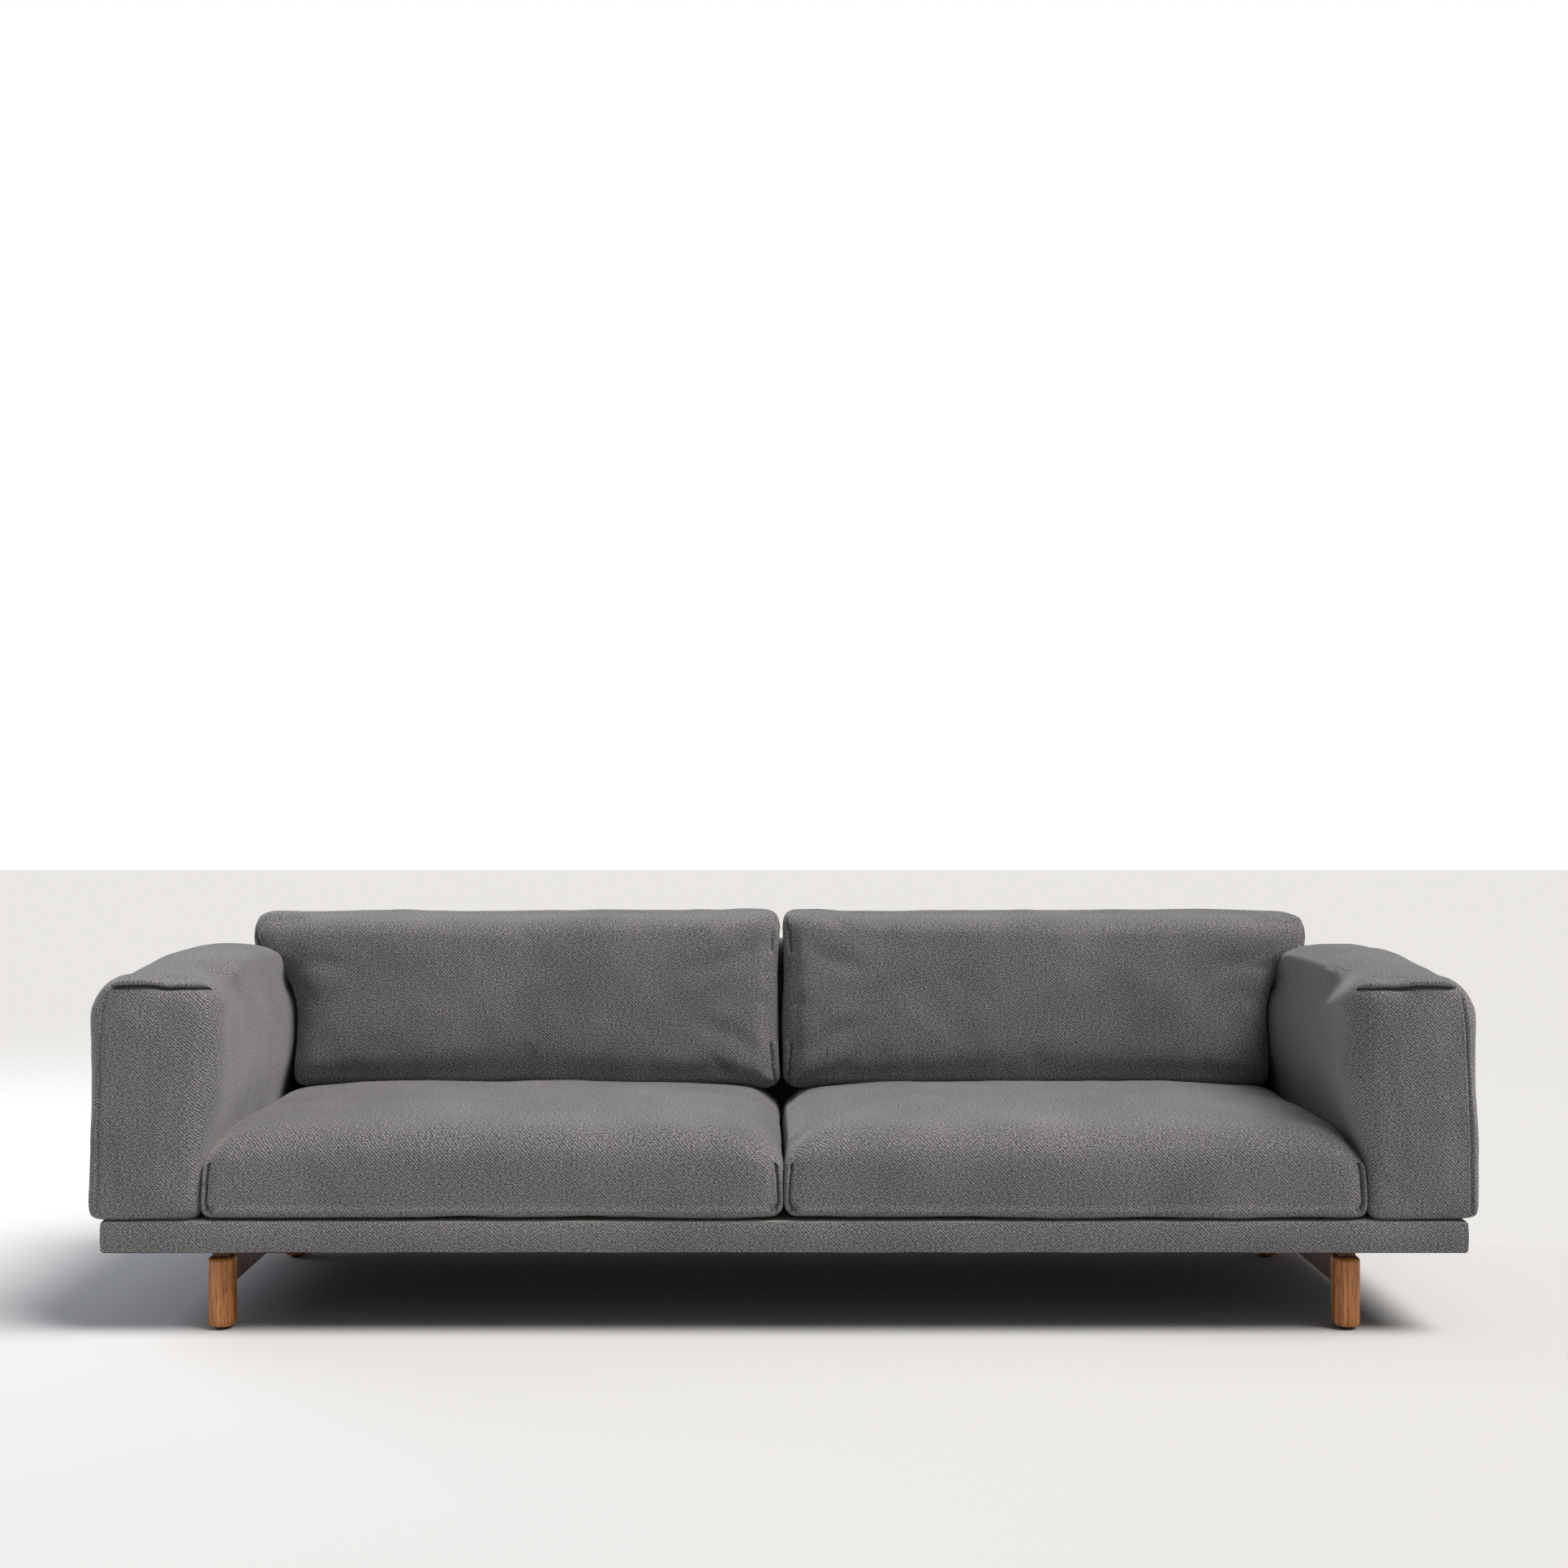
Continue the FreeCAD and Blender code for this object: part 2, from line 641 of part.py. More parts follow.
def arm_form(name, inset, low):
    """Solid of the right arm: rounded shoulders, and an inner side that swells over the seat."""
    diagonal_outer = f"Sizes.arm_outer_round * (1 - Places.diagonal) + {inset} * Places.diagonal"
    diagonal_inner = f"Sizes.arm_inner_round * (1 - Places.diagonal) + {inset} * Places.diagonal"
    outline = [
        corner(f"Places.half_width - Sizes.arm_foot_taper - {inset}", low),
        via(f"Places.half_width - {inset}", "(Places.base_top + Places.arm_outer_shoulder) / 2"),
        corner(f"Places.arm_side - {inset}", "Places.arm_outer_shoulder"),
        via(f"Places.arm_side - ({diagonal_outer})", f"Places.arm_edge_top - ({diagonal_outer})"),
        corner("Places.arm_side - Sizes.arm_outer_round", f"Places.arm_edge_top - {inset}"),
        via("(Places.arm_side - Sizes.arm_outer_round + Places.arm_shoulder_x) / 2",
            f"Places.arm_top - {inset}"),
        corner("Places.arm_shoulder_x", f"Places.arm_edge_top - {inset}"),
        via(f"Places.arm_inner + {diagonal_inner}", f"Places.arm_edge_top - ({diagonal_inner})"),
        corner(f"Places.arm_inner + {inset}", "Places.arm_inner_shoulder"),
        via(f"Places.arm_inner + Sizes.arm_swell / 4 + {inset}",
            "(Places.arm_inner_shoulder + Places.arm_swell_low) / 2"),
        corner(f"Places.arm_foot + {inset}", "Places.arm_swell_low"),
        corner(f"Places.arm_foot + {inset}", low),
    ]
    return outline_body(name, "XZ", outline, f"Sizes.overall_depth - 2 * {inset}", "0")


def arms():
    below = "Places.base_top - Sizes.tool_margin"
    skin = "Sizes.cover_thickness"
    shell = cut("arm_shell", arm_form("arm_outside", "0", "Places.base_top"),
                arm_form("arm_cavity", skin, below))
    mirrored_pair(shell, "arm_cover")
    gap = "Sizes.fit_gap"
    frame_room = box(
        "arm_frame_room",
        (f"Places.arm_frame_inner - {gap}", f"-Places.arm_frame_front - {gap}", below),
        (f"Places.arm_frame_outer + {gap}", f"Places.arm_frame_front + {gap}",
         f"Places.arm_frame_top + {gap}"),
    )
    padding = cut("arm_padding", arm_form("arm_stuffing", "Places.skin", "Places.base_top"),
                  frame_room)
    mirrored_pair(padding, "arm_foam")

    inner = "Places.arm_board_inner"
    outer = "Places.arm_board_inner + Places.arm_board_width"
    front = "Places.arm_frame_front"
    board = "Sizes.board_thickness"
    low = "Places.base_top"
    top = "Places.arm_frame_top"
    posts = (f"{board} - {front}", f"{front} - {board}")
    front_post = box("arm_front_board", (inner, f"-{front}", low), (outer, posts[0], top))
    mirrored_pair(front_post, "arm_front_post")
    rear_post = box("arm_rear_board", (inner, posts[1], low), (outer, front, top))
    mirrored_pair(rear_post, "arm_rear_post")
    top_rail = box("arm_top_board", (inner, posts[0], f"{top} - {board}"), (outer, posts[1], top))
    mirrored_pair(top_rail, "arm_top_rail")
    bottom_rail = box("arm_bottom_board", (inner, posts[0], low),
                      (outer, posts[1], f"{low} + {board}"))
    drills = frame_drills("arm_rail_holes", "Places.bolt_hole_radius", below,
                          "Places.frame_bolt_top + Sizes.fit_gap",
                          [("Places.arm_bolt_x", y) for y in ARM_BOLT_ROWS])
    mirrored_pair(cut("arm_bottom_drilled", bottom_rail, drills), "arm_bottom_rail")
    panels = [
        box("arm_inner_panel", ("Places.arm_frame_inner", f"-{front}", low), (inner, front, top)),
        box("arm_outer_panel", (outer, f"-{front}", low), ("Places.arm_frame_outer", front, top)),
    ]
    mirrored_pair(group("arm_panel_group", panels), "arm_panels")


# ---------------------------------------------------------------- back

def raked(start, height):
    """Distance back that a raked line, at start on the base's top, has reached at a height."""
    return f"{start} + ({height} - Places.base_top) * Places.rake_slope"


def back_form(name, inset, low):
    """Solid of the back: raked front, upright rear, and ends that follow the arms."""
    top = f"(Places.back_top - {inset})"
    start = f"Places.back_front_foot + {inset}"
    outline = [
        corner(raked(start, low), low),
        corner(f"Places.half_depth - {inset}", low),
        corner(f"Places.half_depth - {inset}", top),
        corner(raked(start, top), top),
    ]
    length = f"2 * (Places.arm_foot - Sizes.fit_gap - {inset})"
    block = outline_body(name + "_block", "YZ", outline, length, "0")
    room = arm_form(name + "_arm_room", f"(0 - Sizes.fit_gap - {inset})",
                    "Places.base_top - 2 * Sizes.tool_margin")
    rooms = fuse(name + "_arm_rooms", [room, mirrored(name + "_left_room", room)])
    return cut(name, block, rooms)


def back():
    below = "(Places.base_top - Sizes.tool_margin)"
    shell = cut("back_shell", back_form("back_outside", "0", "Places.base_top"),
                back_form("back_cavity", "Sizes.cover_thickness", below))
    keep(shell, "back_cover")

    gap = "Sizes.fit_gap"
    foot = "Places.back_frame_front_foot"
    rear = "Places.back_frame_rear"
    top = "Places.back_frame_top"
    web = "Sizes.webbing_thickness"
    room_top = f"({top} + {gap})"
    front_face = f"{foot} - {web} - 2 * {gap}"
    frame_room = outline_body("back_frame_room", "YZ", [
        corner(raked(front_face, below), below),
        corner(f"{rear} + {gap}", below),
        corner(f"{rear} + {gap}", room_top),
        corner(raked(front_face, room_top), room_top),
    ], f"2 * (Places.back_frame_end + {gap})", "0")
    stuffing = back_form("back_stuffing", "Places.skin", "Places.base_top")
    keep(cut("back_padding", stuffing, frame_room), "back_foam")

    end = "Places.back_frame_end"
    board = "Sizes.board_thickness"
    post_low = "Places.back_post_low"
    post_top = "Places.back_post_top"
    bottom_rail = box("back_bottom_board", (f"-{end}", raked(foot, post_low), "Places.base_top"),
                      (end, rear, post_low))
    drills = frame_drills("back_rail_holes", "Places.bolt_hole_radius", below,
                          "Places.frame_bolt_top + Sizes.fit_gap",
                          [(x, "Places.back_bolt_y") for x in BACK_BOLT_COLUMNS])
    keep(cut("back_bottom_drilled", bottom_rail, drills), "back_bottom_rail")
    top_rail = box("back_top_board", (f"-{end}", raked(foot, top), post_top), (end, rear, top))
    keep(top_rail, "back_top_rail")
    post = [
        corner(raked(foot, post_low), post_low),
        corner(rear, post_low),
        corner(rear, post_top),
        corner(raked(foot, post_top), post_top),
    ]
    side_post = outline_body("back_side_board", "YZ", post, board, f"{end} - {board} / 2")
    mirrored_pair(side_post, "back_side_post")
    keep(outline_body("back_centre_board", "YZ", post, board, "0"), "back_centre_post")

    straps = []
    strap_front = f"{foot} - {web} - {gap}"
    strap_rear = f"{foot} - {gap}"
    for index in range(BACK_STRAPS):
        share = f"{(index + 1) / (BACK_STRAPS + 1):.4f}"
        low = f"({post_low} + {share} * ({post_top} - {post_low}) - Sizes.webbing_width / 2)"
        high = f"({low} + Sizes.webbing_width)"
        straps.append(outline_body(f"back_strap_{index}", "YZ", [
            corner(raked(strap_front, low), low),
            corner(raked(strap_rear, low), low),
            corner(raked(strap_rear, high), high),
            corner(raked(strap_front, high), high),
        ], f"2 * {end}", "0"))
    keep(group("back_strap_group", straps), "back_webbing")


# ---------------------------------------------------------------- loose seat cushions

def seat_form(name, inset, rounded):
    """Solid of the right seat cushion, the same section from front to rear."""
    outline = [
        corner(f"Places.seat_inner + {inset}", f"Places.seat_low + {inset}"),
        corner(f"Places.seat_outer - {inset}", f"Places.seat_low + {inset}"),
        corner(f"Places.seat_outer - {inset}", f"Places.seat_side_top - {inset}"),
        via("Places.seat_middle", f"Places.seat_top - {inset}"),
        corner(f"Places.seat_inner + {inset}", f"Places.seat_side_top - {inset}"),
    ]
    body = outline_body(name, "XZ", outline, f"Places.seat_length - 2 * {inset}",
                        "(Places.seat_rear - Places.half_depth) / 2")
    if rounded:
        middle = number("(Places.seat_low + Places.seat_side_top) / 2")
        half_length = number(f"Places.seat_length / 2 - {inset}")
        along = number("Sizes.tool_margin")
        round_edges(body, f"Sizes.seat_top_round - {inset}",
                    lambda spot: abs(spot.y) < along and spot.z > middle)
        round_edges(body, f"Sizes.seat_bottom_round - {inset}",
                    lambda spot: abs(spot.y) < along and spot.z < middle - along
                    and abs(spot.x - number("Places.seat_middle")) > along)
        round_edges(body, f"Sizes.seat_front_round - {inset}",
                    lambda spot: spot.y < 0.01 - half_length)
    return body


def seat_cushions():
    skin = "Sizes.cover_thickness"
    shell = cut("seat_shell", seat_form("seat_outside", "0", True),
                seat_form("seat_cavity", skin, True))
    middle = "(Places.seat_low + Places.seat_side_top) / 2"
    half_zip = "Sizes.zip_width / 2"
    margin = "Sizes.zip_end_margin"
    slot = box(
        "seat_zip_slot",
        (f"Places.seat_inner + {margin}", f"Places.seat_rear - {skin} - Sizes.fit_gap",
         f"{middle} - {half_zip}"),
        (f"Places.seat_outer - {margin}", "Places.seat_rear + Sizes.tool_margin",
         f"{middle} + {half_zip}"),
    )
    mirrored_pair(cut("seat_shell_slotted", shell, slot), "seat_cushion_cover")
    gap = "Sizes.fit_gap"
    strip = box(
        "seat_zip_strip",
        (f"Places.seat_inner + {margin} + {gap}", f"Places.seat_rear - {skin}",
         f"{middle} - {half_zip} + {gap}"),
        (f"Places.seat_outer - {margin} - {gap}", "Places.seat_rear",
         f"{middle} + {half_zip} - {gap}"),
    )
    mirrored_pair(strip, "seat_cushion_zip")
    mirrored_pair(seat_form("seat_block", "Places.skin", True), "seat_cushion_core")


# ---------------------------------------------------------------- loose back cushions

def back_cushion_form(name, inset):
    """Solid of the right back cushion: its front view and its side view crossed, on the seat."""
    low = f"(Places.back_cushion_low + {inset})"
    top = f"(Sizes.overall_height - {inset})"
    round_size = "Sizes.back_cushion_corner"
    flank = f"(Places.flank_round + {inset}) * Places.diagonal"
    over_arm = f"Places.arm_top + Sizes.cushion_gap + {inset}"
    flare = f"Places.back_cushion_flare_x - {inset}"
    bend = f"({round_size} * (1 - Places.diagonal) + {inset} * Places.diagonal)"
    front_view = outline_body(name + "_front", "XZ", [
        corner(f"Places.seat_inner + {inset}", low),
        corner(f"Places.back_cushion_outer - {inset}", low),
        corner(f"Places.back_cushion_outer - {inset}", "Places.arm_inner_shoulder"),
        via(f"Places.arm_shoulder_x - {flank}", f"Places.arm_inner_shoulder + {flank}"),
        corner("Places.arm_shoulder_x", over_arm),
        corner(flare, over_arm),
        corner(flare, f"Sizes.overall_height - {round_size}"),
        via(f"Places.back_cushion_flare_x - {bend}", f"Sizes.overall_height - {bend}"),
        corner(f"Places.back_cushion_flare_x - {round_size}", top),
        corner(f"Places.seat_inner + {inset}", top),
    ], "2 * Sizes.overall_depth", "0")

    rear_start = f"Places.back_front_foot - Sizes.cushion_gap - {inset}"
    front_start = f"{rear_start} - Sizes.back_cushion_thickness + 2 * {inset}"
    below = "(Places.back_cushion_low - Sizes.tool_margin)"
    edge = "Places.back_cushion_edge"
    middle_start = f"{rear_start} - Sizes.back_cushion_thickness / 2 + {inset}"
    peak = f"(Sizes.overall_height + Sizes.tool_margin - {inset})"
    side_view = outline_body(name + "_side", "YZ", [
        corner(raked(front_start, below), below),
        corner(raked(rear_start, below), below),
        corner(raked(rear_start, edge), edge),
        via(raked(middle_start, edge), peak),
        corner(raked(front_start, edge), edge),
    ], "2 * Sizes.overall_width", "0")
    crossed = doc.addObject("Part::Common", name + "_crossed")
    crossed.Base = front_view
    crossed.Tool = side_view
    seat_room = seat_form(name + "_seat_room", f"(0 - Sizes.cushion_gap - {inset})", False)
    return cut(name, crossed, seat_room)


def back_cushions():
    skin = "Sizes.cover_thickness"
    gap = "Sizes.fit_gap"
    shell = cut("back_cushion_shell", back_cushion_form("back_cushion_outside", "0"),
                back_cushion_form("back_cushion_cavity", skin))
    rear_start = "Places.back_front_foot - Sizes.cushion_gap"
    inside_start = f"{rear_start} - {skin}"
    low = "(Places.seat_top + Sizes.zip_rise)"
    high = f"({low} + Sizes.zip_width)"
    start = "Places.seat_inner + Sizes.zip_end_margin"
    end = "Places.back_cushion_outer - Sizes.zip_end_margin"
    middle = f"({start} + {end}) / 2"
    length = f"({end}) - ({start})"
    slot = outline_body("back_zip_slot", "YZ", [
        corner(raked(f"{inside_start} - {gap}", low), low),
        corner(raked(f"{rear_start} + Sizes.tool_margin", low), low),
        corner(raked(f"{rear_start} + Sizes.tool_margin", high), high),
        corner(raked(f"{inside_start} - {gap}", high), high),
    ], length, middle)
    mirrored_pair(cut("back_cushion_slotted", shell, slot), "back_cushion_cover")
    zip_low = f"({low} + {gap})"
    zip_high = f"({high} - {gap})"
    strip = outline_body("back_zip_strip", "YZ", [
        corner(raked(inside_start, zip_low), zip_low),
        corner(raked(rear_start, zip_low), zip_low),
        corner(raked(rear_start, zip_high), zip_high),
        corner(raked(inside_start, zip_high), zip_high),
    ], f"{length} - 2 * {gap}", middle)
    mirrored_pair(strip, "back_cushion_zip")
    mirrored_pair(back_cushion_form("back_cushion_stuffing", "Places.skin"), "back_cushion_fill")


# ---------------------------------------------------------------- build, test and write

def test_document():
    """Stop if any object of the document failed, or a sub-part is not a sound solid."""
    failed = [item.Label for item in doc.Objects if {"Invalid", "Error"} & set(item.State)]
    if failed:
        raise RuntimeError("objects that failed: " + ", ".join(failed))
    for item in nodes:
        if item.Shape.isNull() or not item.Shape.isValid() or not item.Shape.Solids:
            raise RuntimeError("sub-part is not a sound solid: " + item.Label)


underframe()
bolts()
base()
arms()
back()
seat_cushions()
back_cushions()
doc.recompute()
test_document()
for item in nodes:
    item.Shape.exportStep(f"parts/{item.Label}.step")
print(len(nodes), "sub-parts written")
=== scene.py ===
"""A long sofa with four loose cushions, padded arms, a slim plinth and oiled oak legs."""
import json
import math

import bpy
import numpy as np
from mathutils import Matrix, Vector, noise


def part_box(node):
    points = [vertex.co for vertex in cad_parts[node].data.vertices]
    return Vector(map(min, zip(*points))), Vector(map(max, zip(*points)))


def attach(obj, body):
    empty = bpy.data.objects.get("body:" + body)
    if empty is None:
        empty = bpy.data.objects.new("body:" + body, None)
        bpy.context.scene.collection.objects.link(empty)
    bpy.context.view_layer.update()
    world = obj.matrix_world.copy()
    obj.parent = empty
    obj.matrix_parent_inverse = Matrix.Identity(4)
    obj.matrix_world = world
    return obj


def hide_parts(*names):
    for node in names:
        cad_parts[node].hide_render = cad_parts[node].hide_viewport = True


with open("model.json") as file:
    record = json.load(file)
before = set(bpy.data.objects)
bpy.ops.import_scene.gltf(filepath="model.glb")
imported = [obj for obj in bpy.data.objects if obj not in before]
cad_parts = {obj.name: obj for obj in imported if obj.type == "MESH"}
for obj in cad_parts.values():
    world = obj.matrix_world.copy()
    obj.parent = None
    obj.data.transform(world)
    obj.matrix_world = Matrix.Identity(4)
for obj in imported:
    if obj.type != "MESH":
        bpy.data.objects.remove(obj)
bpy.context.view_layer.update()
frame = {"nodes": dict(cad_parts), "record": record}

NODES = frame["nodes"]
SCENE = bpy.context.scene
NEARBY = 0.09            # how far a seam or a pull can reach from its line
BACK_LEAN = math.tan(math.radians(10))
VOXEL = 0.0115           # the squares of a filled cover before it is smoothed
BACK_VOXEL = 0.015
FILLING_STEPS = 20
STITCH_PITCH = 0.0085
STITCH_LENGTH = 0.0062
THREAD_THICK = 0.0014
ROW_GAP = 0.0065         # from a seam to the row of stitches on each side of it


# ---------------------------------------------------------------- camera

def set_camera():
    """Stand in front of the sofa, a little above its back, and look straight at it."""
    data = bpy.data.cameras.new("camera")
    data.lens = 50.4
    data.sensor_width = 36.0
    data.shift_x = 0.0129
    data.shift_y = 0.0150
    data.dof.use_dof = False
    camera = bpy.data.objects.new("camera", data)
    SCENE.collection.objects.link(camera)
    camera.location = (-0.038, -4.5625, 0.985)
    camera.rotation_euler = (math.radians(90), 0, 0)
    SCENE.camera = camera


set_camera()


# ---------------------------------------------------------------- mesh tools

def deselect():
    """Leave nothing selected."""
    if bpy.context.object and bpy.context.object.mode != "OBJECT":
        bpy.ops.object.mode_set(mode="OBJECT")
    bpy.ops.object.select_all(action="DESELECT")


def pick(piece):
    """Make one piece the only selected and active one."""
    deselect()
    piece.select_set(True)
    bpy.context.view_layer.objects.active = piece


def points_of(piece):
    """The places of a piece's vertices."""
    found = np.zeros(len(piece.data.vertices) * 3)
    piece.data.vertices.foreach_get("co", found)
    return found.reshape(-1, 3)


def place_points(piece, points):
    """Move a piece's vertices to new places."""
    piece.data.vertices.foreach_set("co", np.ascontiguousarray(points).ravel())
    piece.data.update()


def normals_of(piece):
    """The directions in which a piece's vertices face."""
    found = np.zeros(len(piece.data.vertices) * 3)
    piece.data.vertex_normals.foreach_get("vector", found)
    return found.reshape(-1, 3)


def block(name, low, high, pitch):
    """Add a cube at its size and place and cut its faces into squares of about the pitch."""
    deselect()
    low = np.array(low, float)
    high = np.array(high, float)
    bpy.ops.mesh.primitive_cube_add(size=1, location=tuple((low + high) / 2),
                                    scale=tuple(high - low))
    piece = bpy.context.object
    piece.name = piece.data.name = name
    bpy.ops.object.transform_apply(location=True, rotation=True, scale=True)
    bpy.ops.object.mode_set(mode="EDIT")
    for axis in range(3):
        cuts = max(1, int((high[axis] - low[axis]) / pitch))
        for step in range(1, cuts):
            spot = [0.0, 0.0, 0.0]
            facing = [0.0, 0.0, 0.0]
            spot[axis] = low[axis] + (high[axis] - low[axis]) * step / cuts
            facing[axis] = 1.0
            bpy.ops.mesh.select_all(action="SELECT")
            bpy.ops.mesh.bisect(plane_co=spot, plane_no=facing)
    bpy.ops.object.mode_set(mode="OBJECT")
    return piece


def rounded(points, low, high, radii):
    """Pull a block's skin in to rounded edges; radii are given for each axis."""
    low = np.array(low, float)
    high = np.array(high, float)
    radii = np.broadcast_to(np.array(radii, float), points.shape)
    core = np.clip(points, low + radii, high - radii)
    reach = (points - core) / radii
    length = np.linalg.norm(reach, axis=1)
    biggest = np.abs(reach).max(axis=1)
    keep = np.where(length > 1e-9, biggest / np.maximum(length, 1e-9), 1.0)
    return core + reach * keep[:, None] * radii


def smooth_step(value, start, end):
    """Ease from 0 at the start to 1 at the end."""
    share = np.clip((value - start) / (end - start), 0, 1)
    return share * share * (3 - 2 * share)


def remesh(piece, size, ease=4):
    """Give a piece even square faces."""
    pick(piece)
    change = piece.modifiers.new("even_faces", "REMESH")
    change.mode = "VOXEL"
    change.voxel_size = size
    bpy.ops.object.modifier_apply(modifier=change.name)
    change = piece.modifiers.new("ease", "SMOOTH")
    change.iterations = ease
    change.factor = 0.5
    bpy.ops.object.modifier_apply(modifier=change.name)


def subdivide(piece):
    """Smooth a piece with one level of subdivision surface."""
    pick(piece)
    change = piece.modifiers.new("smooth", "SUBSURF")
    change.levels = change.render_levels = 1
    bpy.ops.object.modifier_apply(modifier=change.name)


def stuff(piece, limit, pressure, slack):
    """Fill a cover with padding: cloth under pressure, each point kept within its limit."""
    before = points_of(piece)
    pick(piece)
    cloth = piece.modifiers.new("padding", "CLOTH")
    fabric = cloth.settings
    fabric.quality = 5
    fabric.mass = 0.3
    fabric.tension_stiffness = fabric.compression_stiffness = 15
    fabric.shear_stiffness = 5
    fabric.bending_stiffness = 0.5
    fabric.use_pressure = True
    fabric.uniform_pressure_force = pressure
    fabric.shrink_min = -slack
    fabric.effector_weights.gravity = 0
    cloth.point_cache.frame_start = 1
    cloth.point_cache.frame_end = FILLING_STEPS
    for step in range(1, FILLING_STEPS + 1):
        SCENE.frame_set(step)
    pick(piece)
    bpy.ops.object.modifier_apply(modifier=cloth.name)
    SCENE.frame_set(1)
    move = points_of(piece) - before
    far = np.linalg.norm(move, axis=1)
    limit = np.broadcast_to(np.asarray(limit, float), far.shape)
    keep = np.where(far > limit, limit / np.maximum(far, 1e-9), 1.0)
    place_points(piece, before + move * keep[:, None])


def along(points, path):
    """How far points are from a line of several runs: distance, offset from it, share along it."""
    path = np.array(path, float)
    best = np.full(len(points), 1e9)
    offset = np.full(points.shape, 1e3)
    share = np.zeros(len(points))
    close = np.flatnonzero(((points > path.min(axis=0) - NEARBY)
                            & (points < path.max(axis=0) + NEARBY)).all(axis=1))
    points = points[close]
    lengths = np.linalg.norm(np.diff(path, axis=0), axis=1)
    total = lengths.sum()
    done = 0.0
    for start, end, length in zip(path[:-1], path[1:], lengths):
        way = (end - start) / length
        t = np.clip((points - start) @ way, 0, length)
        gap = points - (start + t[:, None] * way)
        far = np.linalg.norm(gap, axis=1)
        closer = far < best[close]
        found = close[closer]
        best[found] = far[closer]
        offset[found] = gap[closer]
        share[found] = (done + t[closer]) / total
        done += length
    return best, offset, share


def laid(piece, path, step=0.008):
    """Bring a line down on to a piece's skin."""
    found = []
    path = [Vector(p) for p in path]
    for start, end in zip(path[:-1], path[1:]):
        count = max(1, int((end - start).length / step))
        found += [start.lerp(end, index / count) for index in range(count)]
    found.append(path[-1])
    return [tuple(piece.closest_point_on_mesh(p)[1]) for p in found]


def refine(piece, path, reach, times=2):
    """Cut the faces near a line finer, so that a seam has enough of them."""
    path = laid(piece, path)
    pick(piece)
    bpy.context.tool_settings.mesh_select_mode = (True, False, False)
    for _ in range(times):
        mesh = piece.data
        far, _offset, _share = along(points_of(piece), path)
        near = far < reach
        ends = np.zeros(len(mesh.edges) * 2, int)
        mesh.edges.foreach_get("vertices", ends)
        mesh.vertices.foreach_set("select", near)
        mesh.edges.foreach_set("select", near[ends.reshape(-1, 2)].all(axis=1))
        mesh.polygons.foreach_set("select", [all(near[v] for v in p.vertices)
                                             for p in mesh.polygons])
        bpy.ops.object.mode_set(mode="EDIT")
        bpy.ops.mesh.subdivide(number_cuts=1)
        bpy.ops.object.mode_set(mode="OBJECT")
        reach *= 0.7


def seam(piece, path, depth, width, rim=0.0, side=(0, 0, 1), ends=0.06, into=None):
    """Press a line into a piece; the rim is the fold that stands proud on one side of it."""
    points = points_of(piece)
    far, offset, share = along(points, laid(piece, path))
    facing = normals_of(piece) if into is None else -np.broadcast_to(into, points.shape)
    taper = 1.0
    if ends:
        taper = smooth_step(share, 0, ends) * (1 - smooth_step(share, 1 - ends, 1))
    groove = depth * np.exp(-(far / width) ** 2) * taper
    across = offset @ np.array(side, float)
    fold = rim * np.exp(-((across - 2.4 * width) / (1.5 * width)) ** 2) * taper
    fold *= far < 7 * width
    place_points(piece, points + facing * (fold - groove)[:, None])


def soften(piece, size, depth, seed):
    """Give a filled cover the slow unevenness of its padding."""
    points = points_of(piece)
    facing = normals_of(piece)
    shift = np.array([noise.noise(Vector(p) / size + Vector((seed, 0, 0))) for p in points])
    place_points(piece, points + facing * (shift * depth)[:, None])


def other_side(piece, name):
    """Copy a right-hand piece to the left."""
    copy = piece.copy()
    copy.data = piece.data.copy()
    copy.name = copy.data.name = name
    SCENE.collection.objects.link(copy)
    points = points_of(copy)
    points[:, 0] *= -1
    place_points(copy, points)
    copy.data.flip_normals()
    return copy


def shade(piece):
    """Smooth the look of the faces."""
    pick(piece)
    bpy.ops.object.shade_smooth()


def copies(name, pattern, spots):
    """Lay many copies of a small mesh at spots of (place, along, up) in one piece."""
    base = points_of(pattern)
    faces = [tuple(p.vertices) for p in pattern.data.polygons]
    places = []
    skins = []
    for index, (place, way, up) in enumerate(spots):
        way = Vector(way).normalized()
        up = Vector(up)
        up = (up - way * up.dot(way)).normalized()
        across = up.cross(way)
        turn = np.array([way, across, up])
        places.append(base @ turn + np.array(place))
        shift = index * len(base)
        skins += [tuple(v + shift for v in face) for face in faces]
    mesh = bpy.data.meshes.new(name)
    mesh.from_pydata(np.concatenate(places).tolist(), [], skins)
    mesh.update()
    piece = bpy.data.objects.new(name, mesh)
    SCENE.collection.objects.link(piece)
    shade(piece)
    return piece


def stitch_pattern(length, thick):
    """One thread stitch: a round bar with rounded ends, along X."""
    deselect()
    bpy.ops.mesh.primitive_uv_sphere_add(segments=6, ring_count=6, radius=1)
    piece = bpy.context.object
    bpy.ops.object.mode_set(mode="EDIT")
    bpy.ops.transform.resize(value=(length / 2, thick / 2, thick / 2))
    bpy.ops.object.mode_set(mode="OBJECT")
    return piece


